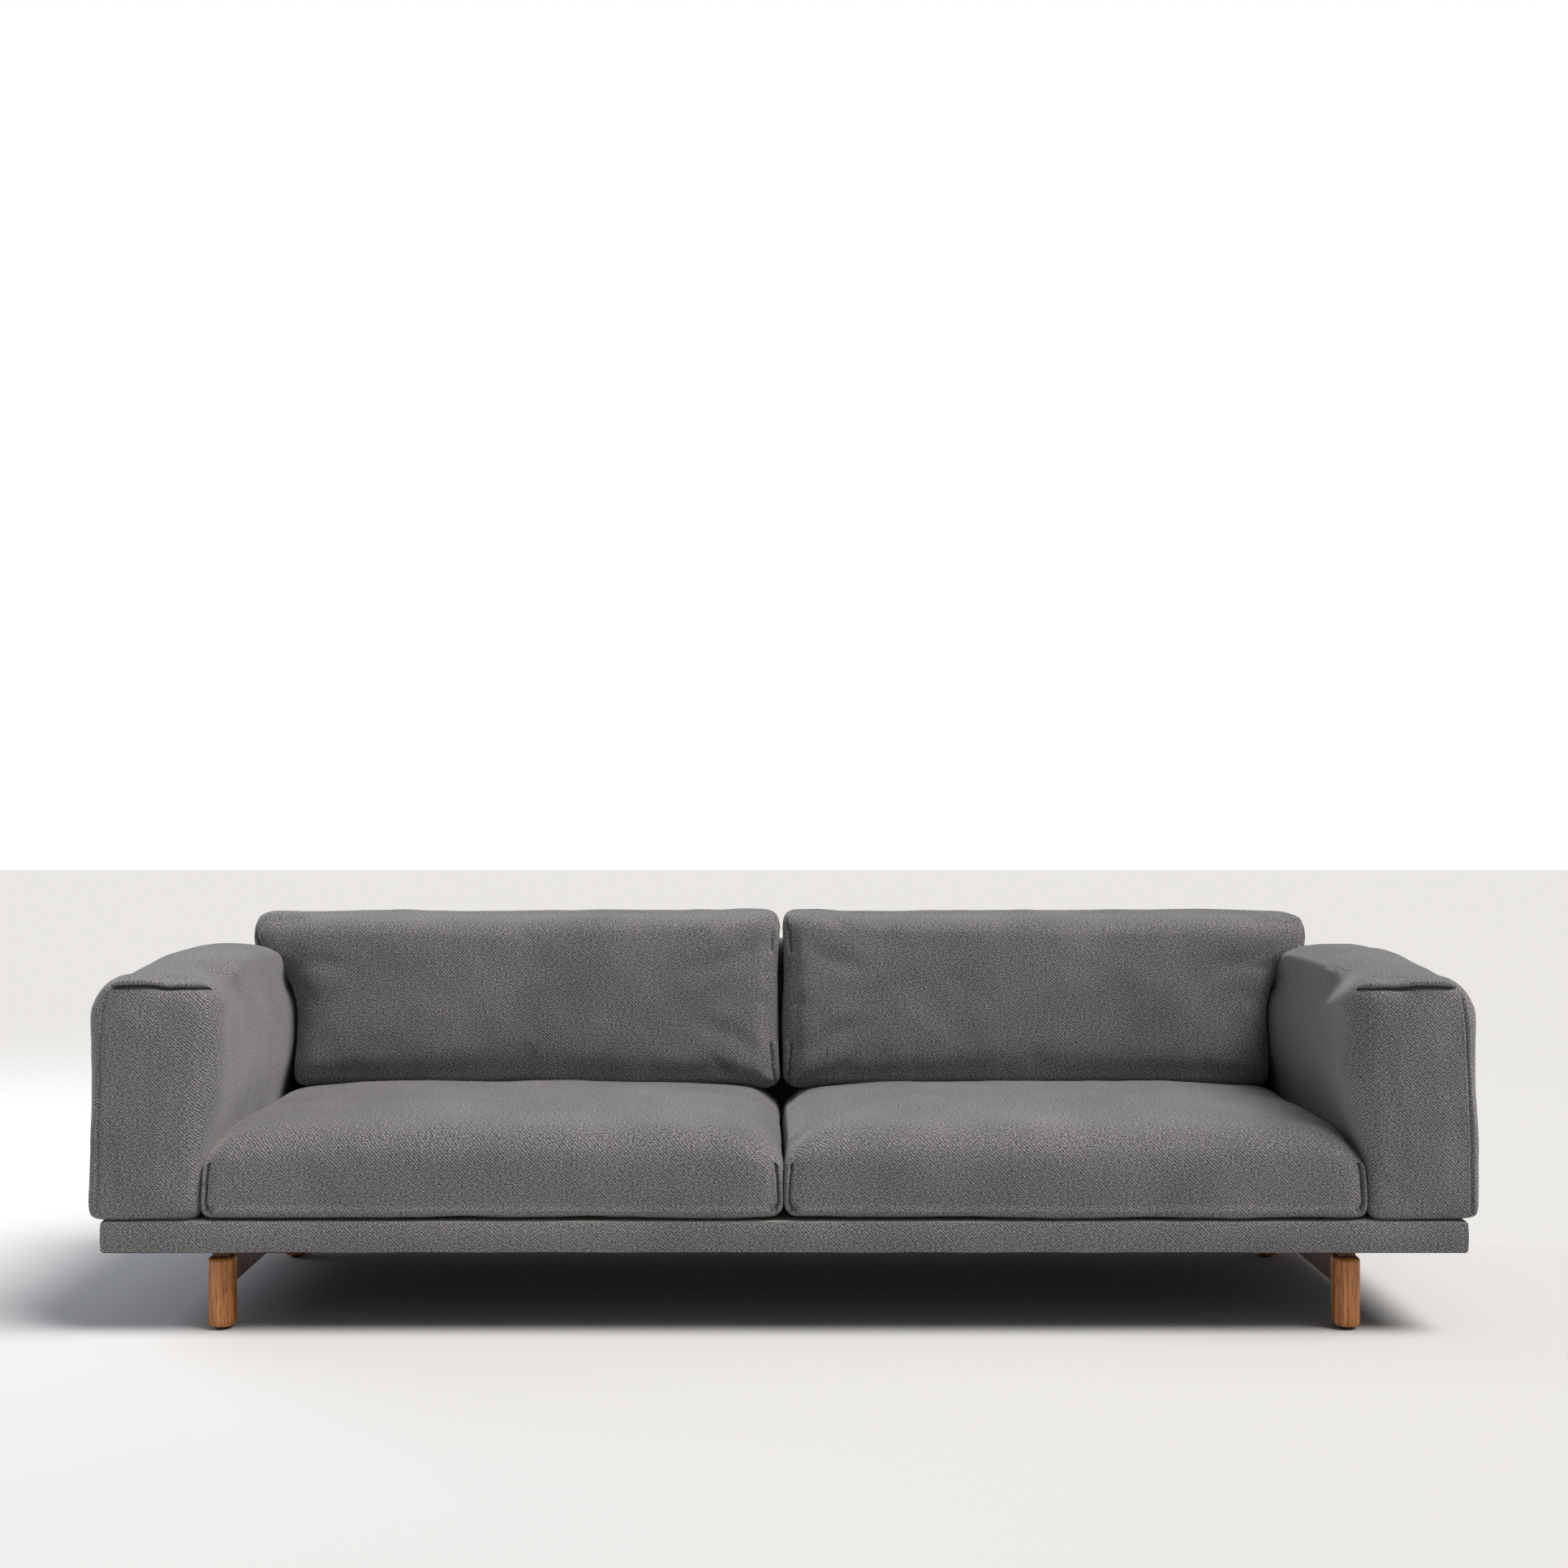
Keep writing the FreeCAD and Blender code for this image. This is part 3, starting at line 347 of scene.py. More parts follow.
def stitches(name, piece, paths):
    """Sew lines of stitches on a piece's surface."""
    pattern = stitch_pattern(STITCH_LENGTH, THREAD_THICK)
    spots = []
    for path in paths:
        path = [Vector(p) for p in path]
        for start, end in zip(path[:-1], path[1:]):
            count = max(1, int((end - start).length / STITCH_PITCH))
            for step in range(count):
                spot = start.lerp(end, (step + 0.5) / count)
                hit, place, normal, _face = piece.closest_point_on_mesh(spot)
                if hit:
                    lift = normal * THREAD_THICK * 0.15
                    spots.append((place + lift, end - start, normal))
    sewn = copies(name, pattern, spots)
    bpy.data.objects.remove(pattern)
    return sewn


# ---------------------------------------------------------------- materials

def colour(code):
    """Turn an sRGB hex value to linear."""
    parts = [int(code[i:i + 2], 16) / 255 for i in (1, 3, 5)]
    return tuple(p / 12.92 if p <= 0.04045 else ((p + 0.055) / 1.055) ** 2.4
                 for p in parts) + (1.0,)


def material(name):
    """Start a material and return it with its tree and its shader."""
    made = bpy.data.materials.new(name)
    made.use_nodes = True
    return made, made.node_tree, made.node_tree.nodes["Principled BSDF"]


def node(tree, kind, links=None, inputs=None, **settings):
    """Add a node with its settings, set its inputs and link it."""
    made = tree.nodes.new(kind)
    for key, value in settings.items():
        setattr(made, key, value)
    for key, value in (inputs or {}).items():
        made.inputs[key].default_value = value
    for key, source in (links or {}).items():
        tree.links.new(source, made.inputs[key])
    return made


def ramp(tree, source, stops):
    """Colour a value by stops of (place, hex)."""
    made = node(tree, "ShaderNodeValToRGB", {"Fac": source})
    bar = made.color_ramp
    while len(bar.elements) < len(stops):
        bar.elements.new(0.5)
    for element, (place, code) in zip(bar.elements, stops):
        element.position = place
        element.color = colour(code)
    return made.outputs["Color"]


# A twill thread is about 1.2 mm thick, too fine to show from across a room, so the threads are
# drawn 3.6 mm apart, the diagonal ribs 4.8 mm apart and the flecks about 2.4 mm by 4.8 mm.
TWILL_RIB = 0.0048
TWILL_THREAD = 0.0036
TWILL_FLECKS = (210.0, 420.0, 210.0)     # to the metre, across and up
YARN_WANDER = 0.0035                     # how far the threads stray from straight


def twill(name, dark, middle, light):
    """Wool-blend twill, woven from mixed grey yarn: soft, matt, with fine diagonal ribs."""
    made, tree, shader = material(name)
    where = node(tree, "ShaderNodeTexCoord")
    place = node(tree, "ShaderNodeSeparateXYZ", {0: where.outputs["Object"]})
    turned = node(tree, "ShaderNodeVectorMath", {0: where.outputs["Normal"]},
                  operation="ABSOLUTE")
    face = node(tree, "ShaderNodeSeparateXYZ", {0: turned.outputs[0]})
    upright = node(tree, "ShaderNodeMath", {0: face.outputs["Y"], 1: face.outputs["Z"]},
                   operation="GREATER_THAN")
    most = node(tree, "ShaderNodeMath", {0: face.outputs["Y"], 1: face.outputs["Z"]},
                operation="MAXIMUM")
    end = node(tree, "ShaderNodeMath", {0: face.outputs["X"], 1: most.outputs[0]},
               operation="GREATER_THAN")
    down = node(tree, "ShaderNodeMix", {"Factor": upright.outputs[0],
                                        2: place.outputs["Y"], 3: place.outputs["Z"]})
    weft = node(tree, "ShaderNodeMix", {"Factor": end.outputs[0],
                                        2: place.outputs["X"], 3: place.outputs["Y"]})
    warp = node(tree, "ShaderNodeMix", {"Factor": end.outputs[0],
                                        2: down.outputs[0], 3: place.outputs["Z"]})
    flat = node(tree, "ShaderNodeCombineXYZ", {"X": weft.outputs[0], "Y": warp.outputs[0]})
    wobble = node(tree, "ShaderNodeTexNoise", {"Vector": where.outputs["Object"]},
                  {"Scale": 45.0, "Detail": 1.0})
    bent = node(tree, "ShaderNodeVectorMath",
                {0: wobble.outputs["Color"], 2: flat.outputs[0]},
                {1: (YARN_WANDER, YARN_WANDER, YARN_WANDER)}, operation="MULTIPLY_ADD")
    split = node(tree, "ShaderNodeSeparateXYZ", {0: bent.outputs[0]})
    diagonal = node(tree, "ShaderNodeMath",
                    {0: split.outputs["X"], 1: split.outputs["Y"]}, operation="ADD")
    rib = node(tree, "ShaderNodeMath", {0: diagonal.outputs[0]},
               {1: 2 * math.pi / (TWILL_RIB * math.sqrt(2))}, operation="MULTIPLY")
    rib = node(tree, "ShaderNodeMath", {0: rib.outputs[0]}, operation="SINE")
    yarn = node(tree, "ShaderNodeMath", {0: split.outputs["X"]},
                {1: 2 * math.pi / TWILL_THREAD}, operation="MULTIPLY")
    yarn = node(tree, "ShaderNodeMath", {0: yarn.outputs[0]}, operation="SINE")
    weave = node(tree, "ShaderNodeMath", {0: yarn.outputs[0], 2: rib.outputs[0]},
                 {1: 0.45}, operation="MULTIPLY_ADD")
    long_way = node(tree, "ShaderNodeMapping", {"Vector": flat.outputs[0]},
                    {"Scale": TWILL_FLECKS})
    fleck = node(tree, "ShaderNodeTexNoise", {"Vector": long_way.outputs[0]},
                 {"Scale": 1.0, "Detail": 2.0, "Roughness": 0.6})
    cloud = node(tree, "ShaderNodeTexNoise", {"Vector": where.outputs["Object"]},
                 {"Scale": 7.0, "Detail": 1.0})
    tone = node(tree, "ShaderNodeMath", {0: weave.outputs[0], 2: fleck.outputs["Fac"]},
                {1: 0.085}, operation="MULTIPLY_ADD")
    tone = node(tree, "ShaderNodeMath", {0: cloud.outputs["Fac"], 2: tone.outputs[0]},
                {1: 0.10}, operation="MULTIPLY_ADD")
    paint = ramp(tree, tone.outputs[0], [(0.36, dark), (0.55, middle), (0.75, light)])
    tree.links.new(paint, shader.inputs["Base Color"])
    height = node(tree, "ShaderNodeMath", {0: fleck.outputs["Fac"], 2: weave.outputs[0]},
                  {1: 1.5}, operation="MULTIPLY_ADD")
    bump = node(tree, "ShaderNodeBump", {"Height": height.outputs[0]},
                {"Strength": 0.5, "Distance": 0.0006})
    tree.links.new(bump.outputs[0], shader.inputs["Normal"])
    shader.inputs["Roughness"].default_value = 0.92
    shader.inputs["IOR"].default_value = 1.45
    shader.inputs["Specular IOR Level"].default_value = 0.25
    shader.inputs["Sheen Weight"].default_value = 0.35
    shader.inputs["Sheen Roughness"].default_value = 0.45
    return made


def oak(name, dark, middle, light, gloss):
    """Oiled oak, planed and sanded: warm, with long grain and short dark pores up the post."""
    made, tree, shader = material(name)
    where = node(tree, "ShaderNodeTexCoord")
    # Growth rings show about 6 mm apart. Pores are about 0.4 mm wide and 12 mm long, too fine
    # to show, so they are drawn about 1.9 mm wide and 28 mm long.
    drawn = node(tree, "ShaderNodeMapping", {"Vector": where.outputs["Object"]},
                 {"Scale": (1.0, 1.0, 0.04)})
    ring = node(tree, "ShaderNodeTexNoise", {"Vector": drawn.outputs[0]},
                {"Scale": 160.0, "Detail": 3.0, "Distortion": 0.3})
    pore_way = node(tree, "ShaderNodeMapping", {"Vector": where.outputs["Object"]},
                    {"Scale": (520.0, 520.0, 35.0)})
    pore = node(tree, "ShaderNodeTexNoise", {"Vector": pore_way.outputs[0]},
                {"Scale": 1.0, "Detail": 1.0})
    paint = ramp(tree, ring.outputs["Fac"], [(0.30, dark), (0.52, middle), (0.72, light)])
    mark = ramp(tree, pore.outputs["Fac"], [(0.56, "#FFFFFF"), (0.68, "#9A7358")])
    both = node(tree, "ShaderNodeMix", {6: paint, 7: mark}, {0: 0.8}, data_type="RGBA",
                blend_type="MULTIPLY")
    tree.links.new(both.outputs[2], shader.inputs["Base Color"])
    bump = node(tree, "ShaderNodeBump", {"Height": pore.outputs["Fac"]},
                {"Strength": 0.25, "Distance": 0.0004}, invert=True)
    tree.links.new(bump.outputs[0], shader.inputs["Normal"])
    shader.inputs["Roughness"].default_value = gloss
    shader.inputs["IOR"].default_value = 1.5
    return made


def speckled(name, dark, light, scale, rough, metal=0.0, stretch=(1, 1, 1)):
    """A plain finish with the small unevenness that its making leaves."""
    made, tree, shader = material(name)
    where = node(tree, "ShaderNodeTexCoord")
    drawn = node(tree, "ShaderNodeMapping", {"Vector": where.outputs["Object"]},
                 {"Scale": stretch})
    spots = node(tree, "ShaderNodeTexNoise", {"Vector": drawn.outputs[0]},
                 {"Scale": scale, "Detail": 3.0})
    paint = ramp(tree, spots.outputs["Fac"], [(0.35, dark), (0.65, light)])
    tree.links.new(paint, shader.inputs["Base Color"])
    bump = node(tree, "ShaderNodeBump", {"Height": spots.outputs["Fac"]},
                {"Strength": 0.2, "Distance": 0.0005})
    tree.links.new(bump.outputs[0], shader.inputs["Normal"])
    shader.inputs["Roughness"].default_value = rough
    shader.inputs["Metallic"].default_value = metal
    return made


# Wool twill, woven: mid grey with lighter and darker flecks, no shine, a soft bloom at edges.
FABRIC = twill("wool_twill_woven", "#3E3E43", "#706F72", "#A5A29F")
# Polyester thread, spun: close to the fabric in tone, but plain and a little smoother.
THREAD = speckled("polyester_thread_spun", "#5C5C5E", "#78777A", 900.0, 0.8)
# Oak, oiled: warm brown with a soft gloss.
OAK = oak("oak_oiled", "#98592F", "#C07C42", "#D2935A", 0.42)
# Oak, oiled, as on the legs but darker: painted shade for the rails that recede under the base;
# less gloss.
OAK_RAIL_PAINTED_SHADE = oak("oak_oiled_painted_shade", "#4A2A18", "#6B4026", "#84553A", 0.5)
FINISHES = {
    "wool_fabric": FABRIC,
    "oiled_oak": OAK,
    # Pine, sawn: pale yellow, dull, with marks that run along the boards.
    "frame_timber": speckled("pine_sawn", "#B98E5E", "#D2AC7A", 60.0, 0.7,
                             stretch=(0.1, 1, 1)),
    # Beech, turned: pinkish and close-grained, a little smoother than the pine.
    "beech": speckled("beech_turned", "#C49A6C", "#D8B388", 80.0, 0.6, stretch=(0.1, 1, 1)),
    # Polyether foam, cut: cream, dead matt, with cells 3 mm across.
    "foam": speckled("polyether_foam_cut", "#D9D2B4", "#E8E2C8", 300.0, 0.95),
    # Jute webbing, woven: straw brown, coarse and matt.
    "webbing": speckled("jute_webbing_woven", "#8A7350", "#A68D66", 400.0, 0.9),
    # Cambric, non-woven: near black, so that the underside stays in shade.
    "dust_cloth": speckled("cambric_nonwoven", "#141416", "#1E1E21", 500.0, 0.95),
    # Nylon zip, moulded: dark grey with a slight shine.
    "zip": speckled("nylon_zip_moulded", "#3A3A3D", "#4B4B4F", 700.0, 0.5),
    # Zinc-plated steel: bright cold grey metal.
    "zinc_steel": speckled("zinc_steel_plated", "#A9AAAC", "#C4C5C7", 200.0, 0.35, 1.0),
    # Brass, turned: yellow metal.
    "brass": speckled("brass_turned", "#B08D4A", "#C9A765", 200.0, 0.35, 1.0),
    # Nylon, moulded: black with a low even shine.
    "nylon": speckled("nylon_moulded", "#1B1B1D", "#27272A", 500.0, 0.55),
}


def dress(piece, finish):
    """Give a piece its one material."""
    piece.data.materials.clear()
    piece.data.materials.append(finish)


def dress_nodes():
    """Give every part that is carried over the material of its slot."""
    slots = {part["node"]: part["material_slot"] for part in frame["record"]["subparts"]}
    for name, obj in NODES.items():
        finish = FINISHES[slots[name]]
        # The side rails take the darker copy of the oak: painted shade under the base.
        if name.startswith("side_rail"):
            finish = OAK_RAIL_PAINTED_SHADE
        dress(obj, finish)


dress_nodes()


def finish_soft(piece, body, fill, *nodes):
    """Smooth a filled piece, give it the fabric, hide the parts that it stands for and set what it
    moves with; the fill is not used.
    """
    shade(piece)
    dress(piece, FABRIC)
    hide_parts(*nodes)
    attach(piece, body)


# ---------------------------------------------------------------- seat cushions

SEAT_CROWN = 0.028       # how far the middle of the top stands above its edges
SEAT_CORNER_DROP = 0.020
SEAT_FRONT_SWELL = 0.006
SEAT_END_PULL = 0.004


def seat_form(name):
    """The right-hand seat cushion before it is filled: crowned, with rounded shoulders."""
    low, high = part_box("seat_cushion_cover_right")
    low = np.array(low)
    high = np.array(high)
    shrink = np.array([-0.004, 0.002, 0.001])
    low = low + shrink
    high = high - shrink
    edge = high[2] - 0.026
    piece = block(name, low, (high[0], high[1], edge), 0.022)
    points = points_of(piece)
    middle = (low + high) / 2
    half = (high - low) / 2
    share = (points - middle) / half
    top = np.clip((points[:, 2] - low[2]) / (edge - low[2]), 0, 1)
    # Bigger rounds on the top than under it.
    front = smooth_step(-share[:, 1], 0.2, 1.0)
    radii = np.stack([0.014 + 0.040 * top, 0.012 + 0.034 * top, 0.016 + 0.036 * top], axis=1)
    points = rounded(points, low, (high[0], high[1], edge), radii)
    u = np.abs((points[:, 0] - middle[0]) / half[0])
    v = np.abs((points[:, 1] - middle[1]) / half[1])
    crown = (1 - u ** 3.2) * (1 - v ** 2.6)
    points[:, 2] += SEAT_CROWN * crown * top
    # The fabric pulls down to the front corners, where it is tucked in.
    corner = smooth_step(u, 0.80, 1.0) * smooth_step(front, 0.55, 1.0)
    points[:, 2] -= SEAT_CORNER_DROP * corner * top
    # The front swells between its corners and the ends pull in a little.
    height = np.sin(np.pi * top)
    points[:, 1] -= SEAT_FRONT_SWELL * (1 - u ** 4) * height * front
    points[:, 0] -= np.sign(points[:, 0] - middle[0]) * SEAT_END_PULL * (1 - v ** 2) * \
        smooth_step(u, 0.9, 1.0)
    place_points(piece, points)
    remesh(piece, VOXEL)
    points = points_of(piece)
    limit = np.full(len(points), 0.009)
    limit[points[:, 2] < low[2] + 0.02] = 0.0012
    limit[points[:, 1] > high[1] - 0.02] = 0.001
    limit[(points[:, 0] < low[0] + 0.012) | (points[:, 0] > high[0] - 0.012)] = 0.0015
    stuff(piece, limit, pressure=3.5, slack=0.012)
    subdivide(piece)
    return piece, low, high


def seat_folds(piece, low, high, seed):
    """The tucks at the front corners, their small knots, and the pulls that run from them."""
    soften(piece, 0.16, 0.004, seed)
    soften(piece, 0.05, 0.0012, seed + 9)
    for end, sign in ((low[0], 1), (high[0], -1)):
        line_x = end + sign * 0.0095
        tuck = [(line_x, low[1], low[2] + 0.118), (line_x, low[1] - 0.002, low[2] + 0.07),
                (line_x, low[1] - 0.002, low[2] + 0.030),
                (line_x + sign * 0.007, low[1], low[2] + 0.016)]
        refine(piece, tuck, 0.030, 2)
        seam(piece, tuck, 0.013, 0.0029, rim=0.0048, side=(-sign, 0, 0), into=(0, 1, 0))
        pull = [(line_x + sign * 0.010, low[1] - 0.002, low[2] + 0.125),
                (line_x + sign * 0.060, low[1] + 0.020, low[2] + 0.155),
                (line_x + sign * 0.150, low[1] + 0.060, low[2] + 0.168)]
        seam(piece, pull, 0.0028, 0.016, ends=0.3)
        knot = [(line_x + sign * 0.004, low[1] - 0.002, low[2] + 0.022),
                (line_x + sign * 0.016, low[1] - 0.002, low[2] + 0.010)]
        seam(piece, knot, 0.006, 0.006, ends=0.2)
        rear = [(line_x, high[1], low[2] + 0.125), (line_x, high[1], low[2] + 0.012)]
        refine(piece, rear, 0.030, 2)
        seam(piece, rear, 0.006, 0.0026, rim=0.002, side=(-sign, 0, 0), into=(0, -1, 0))


def make_seats():
    """Both loose seat cushions."""
    right, low, high = seat_form("seat_cushion_right_padded")
    left = other_side(right, "seat_cushion_left_padded")
    mirror_low = np.array([-high[0], low[1], low[2]])
    mirror_high = np.array([-low[0], high[1], high[2]])
    seat_folds(right, low, high, 3.1)
    seat_folds(left, mirror_low, mirror_high, 7.4)
    for piece, side in ((right, "right"), (left, "left")):
        finish_soft(piece, f"seat_cushion_{side}", 0.8, f"seat_cushion_cover_{side}",
                    f"seat_cushion_core_{side}")


make_seats()


# ---------------------------------------------------------------- back cushions

CUSHION_THICK = 0.170
CUSHION_SWELL = 0.014    # how far the middle of the face stands out
EAR = 0.092              # how far the outer end spreads over the arm
ROUND_ARM = 0.152        # the round of the arm that it follows
SHOULDER_DROP = 0.155    # from the arm's top down to where the ear starts


def back_form(name):
    """The right-hand back cushion: a leaning pillow whose ear spreads over the arm."""
    low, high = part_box("back_cushion_cover_right")
    arm_low, arm_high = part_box("arm_cover_right")
    low = np.array(low)
    high = np.array(high)
    foot = arm_low[0] - 0.002
    shoulder = arm_high[2] - SHOULDER_DROP
    thick = CUSHION_THICK
    front = low[1]
    flat_low = np.array([low[0], 0.0, low[2] + 0.001])
    flat_high = np.array([foot, thick, high[2] - 0.004])
    piece = block(name, flat_low, flat_high, 0.022)
    points = points_of(piece)
    middle = (flat_low + flat_high) / 2
    half = (flat_high - flat_low) / 2
    outer = points[:, 0] > middle[0]
    radii = np.stack([np.where(outer, 0.030, 0.018), np.full(len(points), 0.042),
                      np.where(outer, 0.036, 0.024)], axis=1)
    points = rounded(points, flat_low, flat_high, radii)
    u = (points[:, 0] - middle[0]) / half[0]
    w = (points[:, 2] - middle[2]) / half[2]
    # Fuller in the middle of the face, thin towards the seams.
    full = (1 - np.abs(u) ** 4) * (1 - np.abs(w) ** 3)
    front_face = smooth_step(-(points[:, 1] - middle[1]), 0.02, 0.06)
    points[:, 1] -= CUSHION_SWELL * full * front_face
    # The ear follows the round of the arm and then lies out over it.
    rise = np.clip((points[:, 2] - shoulder) / ROUND_ARM, 0, 1)
    swing = np.minimum(ROUND_ARM * (1 - np.sqrt(np.maximum(1 - rise ** 2, 0))), EAR)
    out = smooth_step(u, -0.6, 1.0)
    points[:, 0] += swing * out
    points[:, 1] += front + 0.006 + (points[:, 2] - low[2]) * BACK_LEAN
    place_points(piece, points)
    remesh(piece, VOXEL)
    points = points_of(piece)
    depth = points[:, 1] - (front + (points[:, 2] - low[2]) * BACK_LEAN)
    limit = np.full(len(points), 0.010)
    limit[depth > thick * 0.6] = 0.002
    limit[points[:, 2] < low[2] + 0.03] = 0.002
    limit[points[:, 0] < low[0] + 0.02] = 0.003
    limit[(points[:, 0] > foot - 0.02) & (depth > 0.02)] = 0.002
    stuff(piece, limit, pressure=3.5, slack=0.008)
    subdivide(piece)
    return piece, low, high


def back_folds(piece, low, high, side, seed):
    """The tucks at three corners of the face, none at the outer foot, and the soft pulls that run
    from them.
    """
    soften(piece, 0.20, 0.007, seed)
    soften(piece, 0.06, 0.0018, seed + 5)
    front = low[1]

    def on_face(x, z, back=0.0):
        return (side * x, front + back + (z - low[2]) * BACK_LEAN, z)

    inner = low[0] + 0.012
    top = high[2] - 0.012
    tucks = (
        ([on_face(inner + 0.004, top - 0.004, 0.040), on_face(inner, top - 0.030, 0.012),
          on_face(inner + 0.002, top - 0.085, 0.004)], (-side, 0, 0)),
        ([on_face(inner + 0.006, low[2] + 0.010, 0.030), on_face(inner, low[2] + 0.045, 0.008),
          on_face(inner + 0.004, low[2] + 0.110, 0.002)], (-side, 0, 0)),
        ([on_face(high[0] - 0.022, top - 0.010, 0.040),
          on_face(high[0] - 0.016, top - 0.038, 0.014),
          on_face(high[0] - 0.040, top - 0.070, 0.010)], (side, 0, 0)),
    )
    for path, edge in tucks:
        refine(piece, path, 0.030, 2)
        seam(piece, path, 0.008, 0.0034, rim=0.003, side=edge, ends=0.15)
    pulls = (
        [on_face(inner + 0.012, top - 0.035), on_face(inner + 0.080, top - 0.090),
         on_face(inner + 0.200, top - 0.130)],
        [on_face(high[0] - 0.050, top - 0.045), on_face(high[0] - 0.140, top - 0.095),
         on_face(high[0] - 0.270, top - 0.120)],
        [on_face(inner + 0.012, low[2] + 0.060), on_face(inner + 0.090, low[2] + 0.120),
         on_face(inner + 0.190, low[2] + 0.150)],
    )
    for path in pulls:
        seam(piece, path, 0.0038, 0.022, ends=0.35)


def make_backs():
    """Both loose back cushions."""
    right, low, high = back_form("back_cushion_right_padded")
    left = other_side(right, "back_cushion_left_padded")
    back_folds(right, low, high, 1, 1.7)
    back_folds(left, low, high, -1, 6.2)
    for piece, side in ((right, "right"), (left, "left")):
        finish_soft(piece, f"back_cushion_{side}", 0.65, f"back_cushion_cover_{side}",
                    f"back_cushion_fill_{side}")


make_backs()


# ---------------------------------------------------------------- arms

ARM_FRONT_TOP = 0.671
ARM_RISE = 0.031         # from the front fold to the fullest place
ARM_FALL = 0.025         # from there to the rear
ARM_BLOCK_TOP = 0.700    # before the top is brought to its line
ARM_DRAW_IN = 0.035      # how far the cover is drawn in beside the seat
TUCK_HEIGHT = 0.651      # the fold across the front of the arm


def arm_top_line(y):
    """The height of an arm's top: low at the front fold, fullest at the middle, lower behind."""
    rise = smooth_step(y, -0.4625, -0.10)
    fall = smooth_step(y, 0.08, 0.40)
    return ARM_FRONT_TOP + ARM_RISE * rise - ARM_FALL * fall


def arm_form(name):
    """The right-hand arm: square at the front, rounder behind, swelling over the seat."""
    low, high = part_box("arm_cover_right")
    low = np.array(low)
    high = np.array(high)
    tall = ARM_BLOCK_TOP
    high[0] += 0.005         # smoothing takes this back
    low[2] -= 0.003          # its own weight presses it on to the base
    piece = block(name, low, (high[0], high[1], tall), 0.020)
    points = points_of(piece)
    y = points[:, 1]
    behind = smooth_step(y, low[1], low[1] + 0.30)
    over_seat = smooth_step(points[:, 2], 0.30, 0.44)
    top_share = smooth_step(points[:, 2], 0.34, 0.52)
    inner = points[:, 0] < (low[0] + high[0]) / 2
    ahead = y < 0
    round_x = np.where(inner, 0.060 + 0.090 * behind, 0.072 + 0.026 * behind)
    round_z = np.where(inner, 0.060 + 0.095 * behind, 0.096 + 0.016 * behind)
    plan_x = np.where(inner & ahead, 0.022 + 0.048 * over_seat, 0.010)
    plan_y = np.where(inner & ahead, 0.022 + 0.050 * over_seat, 0.010)
    radii = np.stack([plan_x + (round_x - plan_x) * top_share,
                      plan_y,
                      0.006 + (round_z - 0.006) * top_share], axis=1)
    points = rounded(points, low, (high[0], high[1], tall), radii)
    # The top follows its own line, and the body below stays as it is.
    share = smooth_step(points[:, 2], 0.45, tall)
    points[:, 2] += (arm_top_line(points[:, 1]) - tall) * share
    # Full above the seat, drawn in beside it.
    tuck_in = 1 - smooth_step(points[:, 2], 0.290, 0.500)
    near_seat = 1 - smooth_step(points[:, 0], low[0], low[0] + 0.13)
    points[:, 0] += ARM_DRAW_IN * tuck_in * near_seat
    place_points(piece, points)
    remesh(piece, VOXEL, 6)
    points = points_of(piece)
    limit = np.full(len(points), 0.006)
    limit[points[:, 2] < low[2] + 0.02] = 0.001
    limit[points[:, 0] > high[0] - 0.03] = 0.002
    limit[(points[:, 0] < low[0] + 0.045) & (points[:, 2] < 0.60)] = 0.001
    limit[points[:, 1] < low[1] + 0.02] = 0.002
    limit[points[:, 1] > high[1] - 0.02] = 0.002
    stuff(piece, limit, pressure=3.0, slack=0.015)
    subdivide(piece)
    return piece, low, high


def arm_folds(piece, low, high, side, seed):
    """The envelope fold across the front, under the top, and the seams down the outer edges."""
    soften(piece, 0.18, 0.004, seed)
    soften(piece, 0.05, 0.001, seed + 4)

    def face(x, z, back=0.0):
        return (side * x, low[1] + back, z)

    fold = [face(low[0] + 0.005, TUCK_HEIGHT - 0.004, 0.036),
            face(low[0] + 0.045, TUCK_HEIGHT + 0.003, 0.008),
            face(low[0] + 0.090, TUCK_HEIGHT + 0.004),
            face(high[0] - 0.085, TUCK_HEIGHT + 0.003),
            face(high[0] - 0.040, TUCK_HEIGHT, 0.004)]
    refine(piece, fold, 0.034, 3)
    seam(piece, fold, 0.017, 0.0042, rim=0.012, side=(0, 0, 1), ends=0.08, into=(0, 1, 0))
    edge = [face(high[0] - 0.034, TUCK_HEIGHT - 0.008), face(high[0] - 0.026, 0.560),
            face(high[0] - 0.022, 0.440), face(high[0] - 0.019, low[2] + 0.010)]
    refine(piece, edge, 0.026, 2)
    seam(piece, edge, 0.0035, 0.0026, rim=0.0012, side=(side, 0, 0), ends=0.03,
         into=(0, 1, 0))
    pull = [face(low[0] + 0.050, 0.310, 0.0), face(low[0] + 0.070, 0.270, 0.0)]
    seam(piece, pull, 0.003, 0.010, ends=0.3)
    rear = [(side * (high[0] - 0.030), high[1], 0.640), (side * (high[0] - 0.022), high[1],
                                                         low[2] + 0.010)]
    refine(piece, rear, 0.026, 2)
    seam(piece, rear, 0.003, 0.0026, ends=0.03, into=(0, -1, 0))
    return edge, rear


def beside(path, gap):
    """A line moved sideways."""
    return [(p[0] + gap, p[1], p[2]) for p in path]


